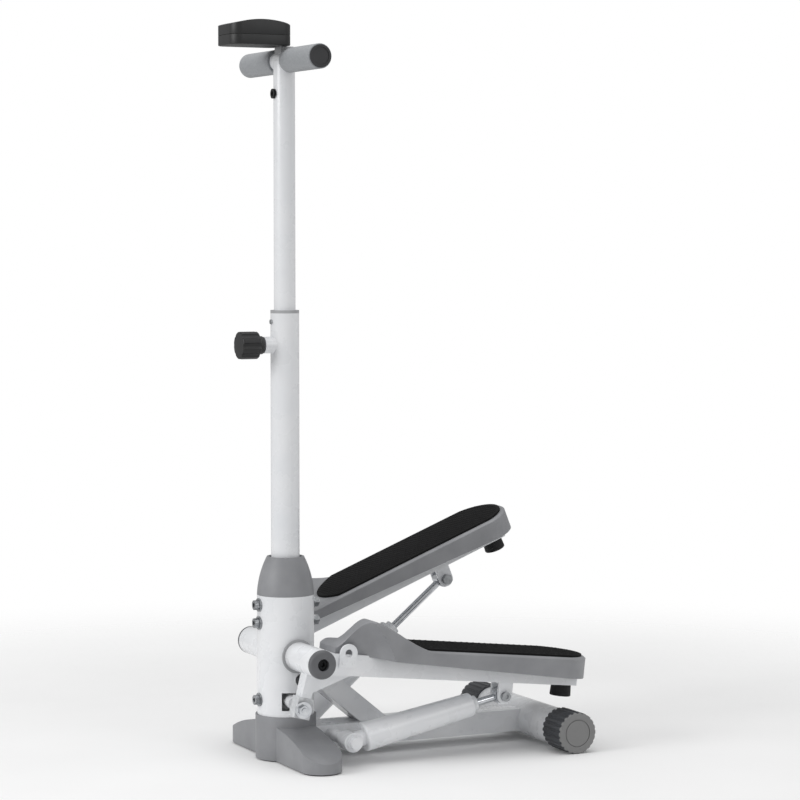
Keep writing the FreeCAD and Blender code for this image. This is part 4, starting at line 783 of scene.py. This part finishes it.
class STEPPER_OT_mats(bpy.types.Operator):
    """Model the studded rubber mats"""

    bl_idname = "stepper.mats"
    bl_label = "Mats"

    def execute(self, context):
        sizes = context.scene.stepper_pedals
        form = PedalForm(sizes)
        thick = form.mat_thick
        levels = ((0.0, -MAT_SUNK), (0.0, thick - MAT_SUNK), (MAT_EDGE, thick - MAT_EDGE), (MAT_ROUND, thick))
        rings = [mat_outline(form, inset) for inset, _ in levels]
        count = len(rings[0])
        faces = [
            *ring_faces(len(rings), count),
            tuple(range(count))[::-1],
            tuple(range((len(rings) - 1) * count, len(rings) * count)),
        ]
        tree, sockets = stud_tree(MATERIALS["mat_rubber"])
        for name, side in SIDES:
            place = to_world(name, side, sizes)
            vertices = [
                place @ Vector((x, a, form.deck + level))
                for ring, (_, level) in zip(rings, levels)
                for x, a in ring
            ]
            made = make_object(f"{name}_mat", vertices, faces, MATERIALS["mat_rubber"])
            tidy_mesh(made, WELD)
            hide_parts(f"{name}_pedal_mat")
            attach(made, f"{name}_pedal")
            self.studs(name, sizes, form, place, tree, sockets)
        return {"FINISHED"}

    def studs(self, name, sizes, form, place, tree, sockets):
        """Six-sided studs in a staggered grid over the mat."""
        pitch, rise = form.stud_pitch, form.stud_pitch * STUD_ROW
        edge = mat_outline(form, form.stud_radius + form.stud_margin)
        grid = [
            (-STUD_HALF + (column + 0.5 * (row % 2)) * pitch, STUD_FIRST + row * rise)
            for row in range(int((form.end - STUD_FIRST) / rise))
            for column in range(int(2 * STUD_HALF / pitch))
        ]
        points = [(x * MM, a * MM, 0.0) for x, a in grid if inside((x, a), edge)]
        mesh = bpy.data.meshes.new(f"{name}_mat_studs")
        mesh.from_pydata(points, [], [])
        made = bpy.data.objects.new(f"{name}_mat_studs", mesh)
        bpy.context.scene.collection.objects.link(made)
        grow = made.modifiers.new("studs", "NODES")
        grow.node_group = tree
        grow[sockets["Stud Radius"]] = sizes.stud_radius
        grow[sockets["Stud Height"]] = sizes.stud_height
        apply_modifiers(made)
        top = Matrix.Translation((0, 0, form.deck + form.mat_thick - STUD_SINK))
        turn = place @ top @ Matrix.Diagonal((1 / MM, 1 / MM, 1 / MM, 1.0))
        made.data.transform(turn)
        if turn.determinant() < 0:  # the right pedal mirrors the left
            made.data.flip_normals()
        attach(made, f"{name}_pedal")


class STEPPER_OT_stage(bpy.types.Operator):
    """Set the pale floor, the soft studio light and the camera"""

    bl_idname = "stepper.stage"
    bl_label = "Stage"

    def execute(self, context):
        scene, stage = context.scene, context.scene.stepper_stage
        scene.view_settings.view_transform = "Standard"
        self.floor(stage)
        self.world(scene, stage)
        lows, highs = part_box("column_tube")
        column = Vector(((lows[0] + highs[0]) / 2, (lows[1] + highs[1]) / 2, 0.0))
        aim = Vector((0.0, 0.0, stage.aim_height))
        for title, spot, power, width in SOFTBOXES:
            light = bpy.data.lights.new(title, "AREA")
            light.energy = power
            light.size = width
            lamp = bpy.data.objects.new(title, light)
            lamp.location = spot
            lamp.rotation_mode = "QUATERNION"
            lamp.rotation_quaternion = (aim - Vector(spot)).to_track_quat("-Z", "Y")
            scene.collection.objects.link(lamp)
        camera = bpy.data.cameras.new("camera")
        camera.lens = stage.lens
        camera.sensor_width = SENSOR
        camera.clip_end = FARTHEST
        eye = bpy.data.objects.new("camera", camera)
        eye.location = column + Vector((stage.stand_x, stage.stand_y, stage.stand_z))
        turn, tip = stage.azimuth, stage.pitch
        back_way = Vector(
            (math.sin(turn) * math.cos(tip), -math.cos(turn) * math.cos(tip), math.sin(tip))
        )
        eye.rotation_mode = "QUATERNION"
        eye.rotation_quaternion = (-back_way).to_track_quat("-Z", "Y")
        scene.collection.objects.link(eye)
        scene.camera = eye
        return {"FINISHED"}

    def floor(self, stage):
        """A round sheet of pale paper that fades out at its edge."""
        paper, tree, shader, place = new_material("pale_paper_floor", roughness=0.9)
        two_tone(tree, shader, place, "f4f4f4", "f8f8f8", 400)
        away = add(tree, "ShaderNodeVectorMath", {0: place}, operation="LENGTH")
        fade = add(tree, "ShaderNodeMapRange", {"Value": away.outputs["Value"]},
                   interpolation_type="SMOOTHSTEP", from_min=stage.floor_radius * stage.floor_plain,
                   from_max=stage.floor_radius, to_min=1.0, to_max=0.0)
        tree.links.new(fade.outputs["Result"], shader.inputs["Alpha"])
        turns = [2 * math.pi * n / FLOOR_SIDES for n in range(FLOOR_SIDES)]
        reach = stage.floor_radius
        rim = [(reach * math.cos(t), reach * math.sin(t), 0.0) for t in turns]
        make_object("floor", rim, [tuple(range(FLOOR_SIDES))], paper)

    def world(self, scene, stage):
        """An even white surround, dimmer as a light than it looks behind the object."""
        world = bpy.data.worlds.new("studio")
        world.use_nodes = True
        tree = world.node_tree
        back = tree.nodes["Background"]
        back.inputs["Color"].default_value = colour("ffffff")
        seen = add(tree, "ShaderNodeLightPath").outputs["Is Camera Ray"]
        level = add(tree, "ShaderNodeMapRange", {"Value": seen}, to_min=stage.surround, to_max=1.0)
        tree.links.new(level.outputs["Result"], back.inputs["Strength"])
        scene.world = world


class STEPPER_PT_panel(bpy.types.Panel):
    """The stepper's pieces and sizes"""

    bl_idname = "STEPPER_PT_panel"
    bl_label = "Mini stair stepper"
    bl_space_type = "VIEW_3D"
    bl_region_type = "UI"
    bl_category = "Stepper"

    def draw(self, context):
        layout = self.layout
        for operator in OPERATORS:
            layout.operator(operator.bl_idname)
        for group in (context.scene.stepper_pedals, context.scene.stepper_stage):
            box = layout.box()
            for name in type(group).__annotations__:
                box.prop(group, name)


OPERATORS = (
    STEPPER_OT_finishes,
    STEPPER_OT_footplates,
    STEPPER_OT_mats,
    STEPPER_OT_stage,
)
CLASSES = (StepperPedals, StepperStage, *OPERATORS, STEPPER_PT_panel)


def register():
    """Add the classes and the scene's settings."""
    for piece in CLASSES:
        bpy.utils.register_class(piece)
    bpy.types.Scene.stepper_pedals = bpy.props.PointerProperty(type=StepperPedals)
    bpy.types.Scene.stepper_stage = bpy.props.PointerProperty(type=StepperStage)


def unregister():
    """Take them away again."""
    del bpy.types.Scene.stepper_pedals
    del bpy.types.Scene.stepper_stage
    for piece in reversed(CLASSES):
        bpy.utils.unregister_class(piece)


def main():
    """Build every piece in order."""
    register()
    for operator in OPERATORS:
        group, name = operator.bl_idname.split(".")
        getattr(getattr(bpy.ops, group), name)()


if __name__ == "__main__":
    main()
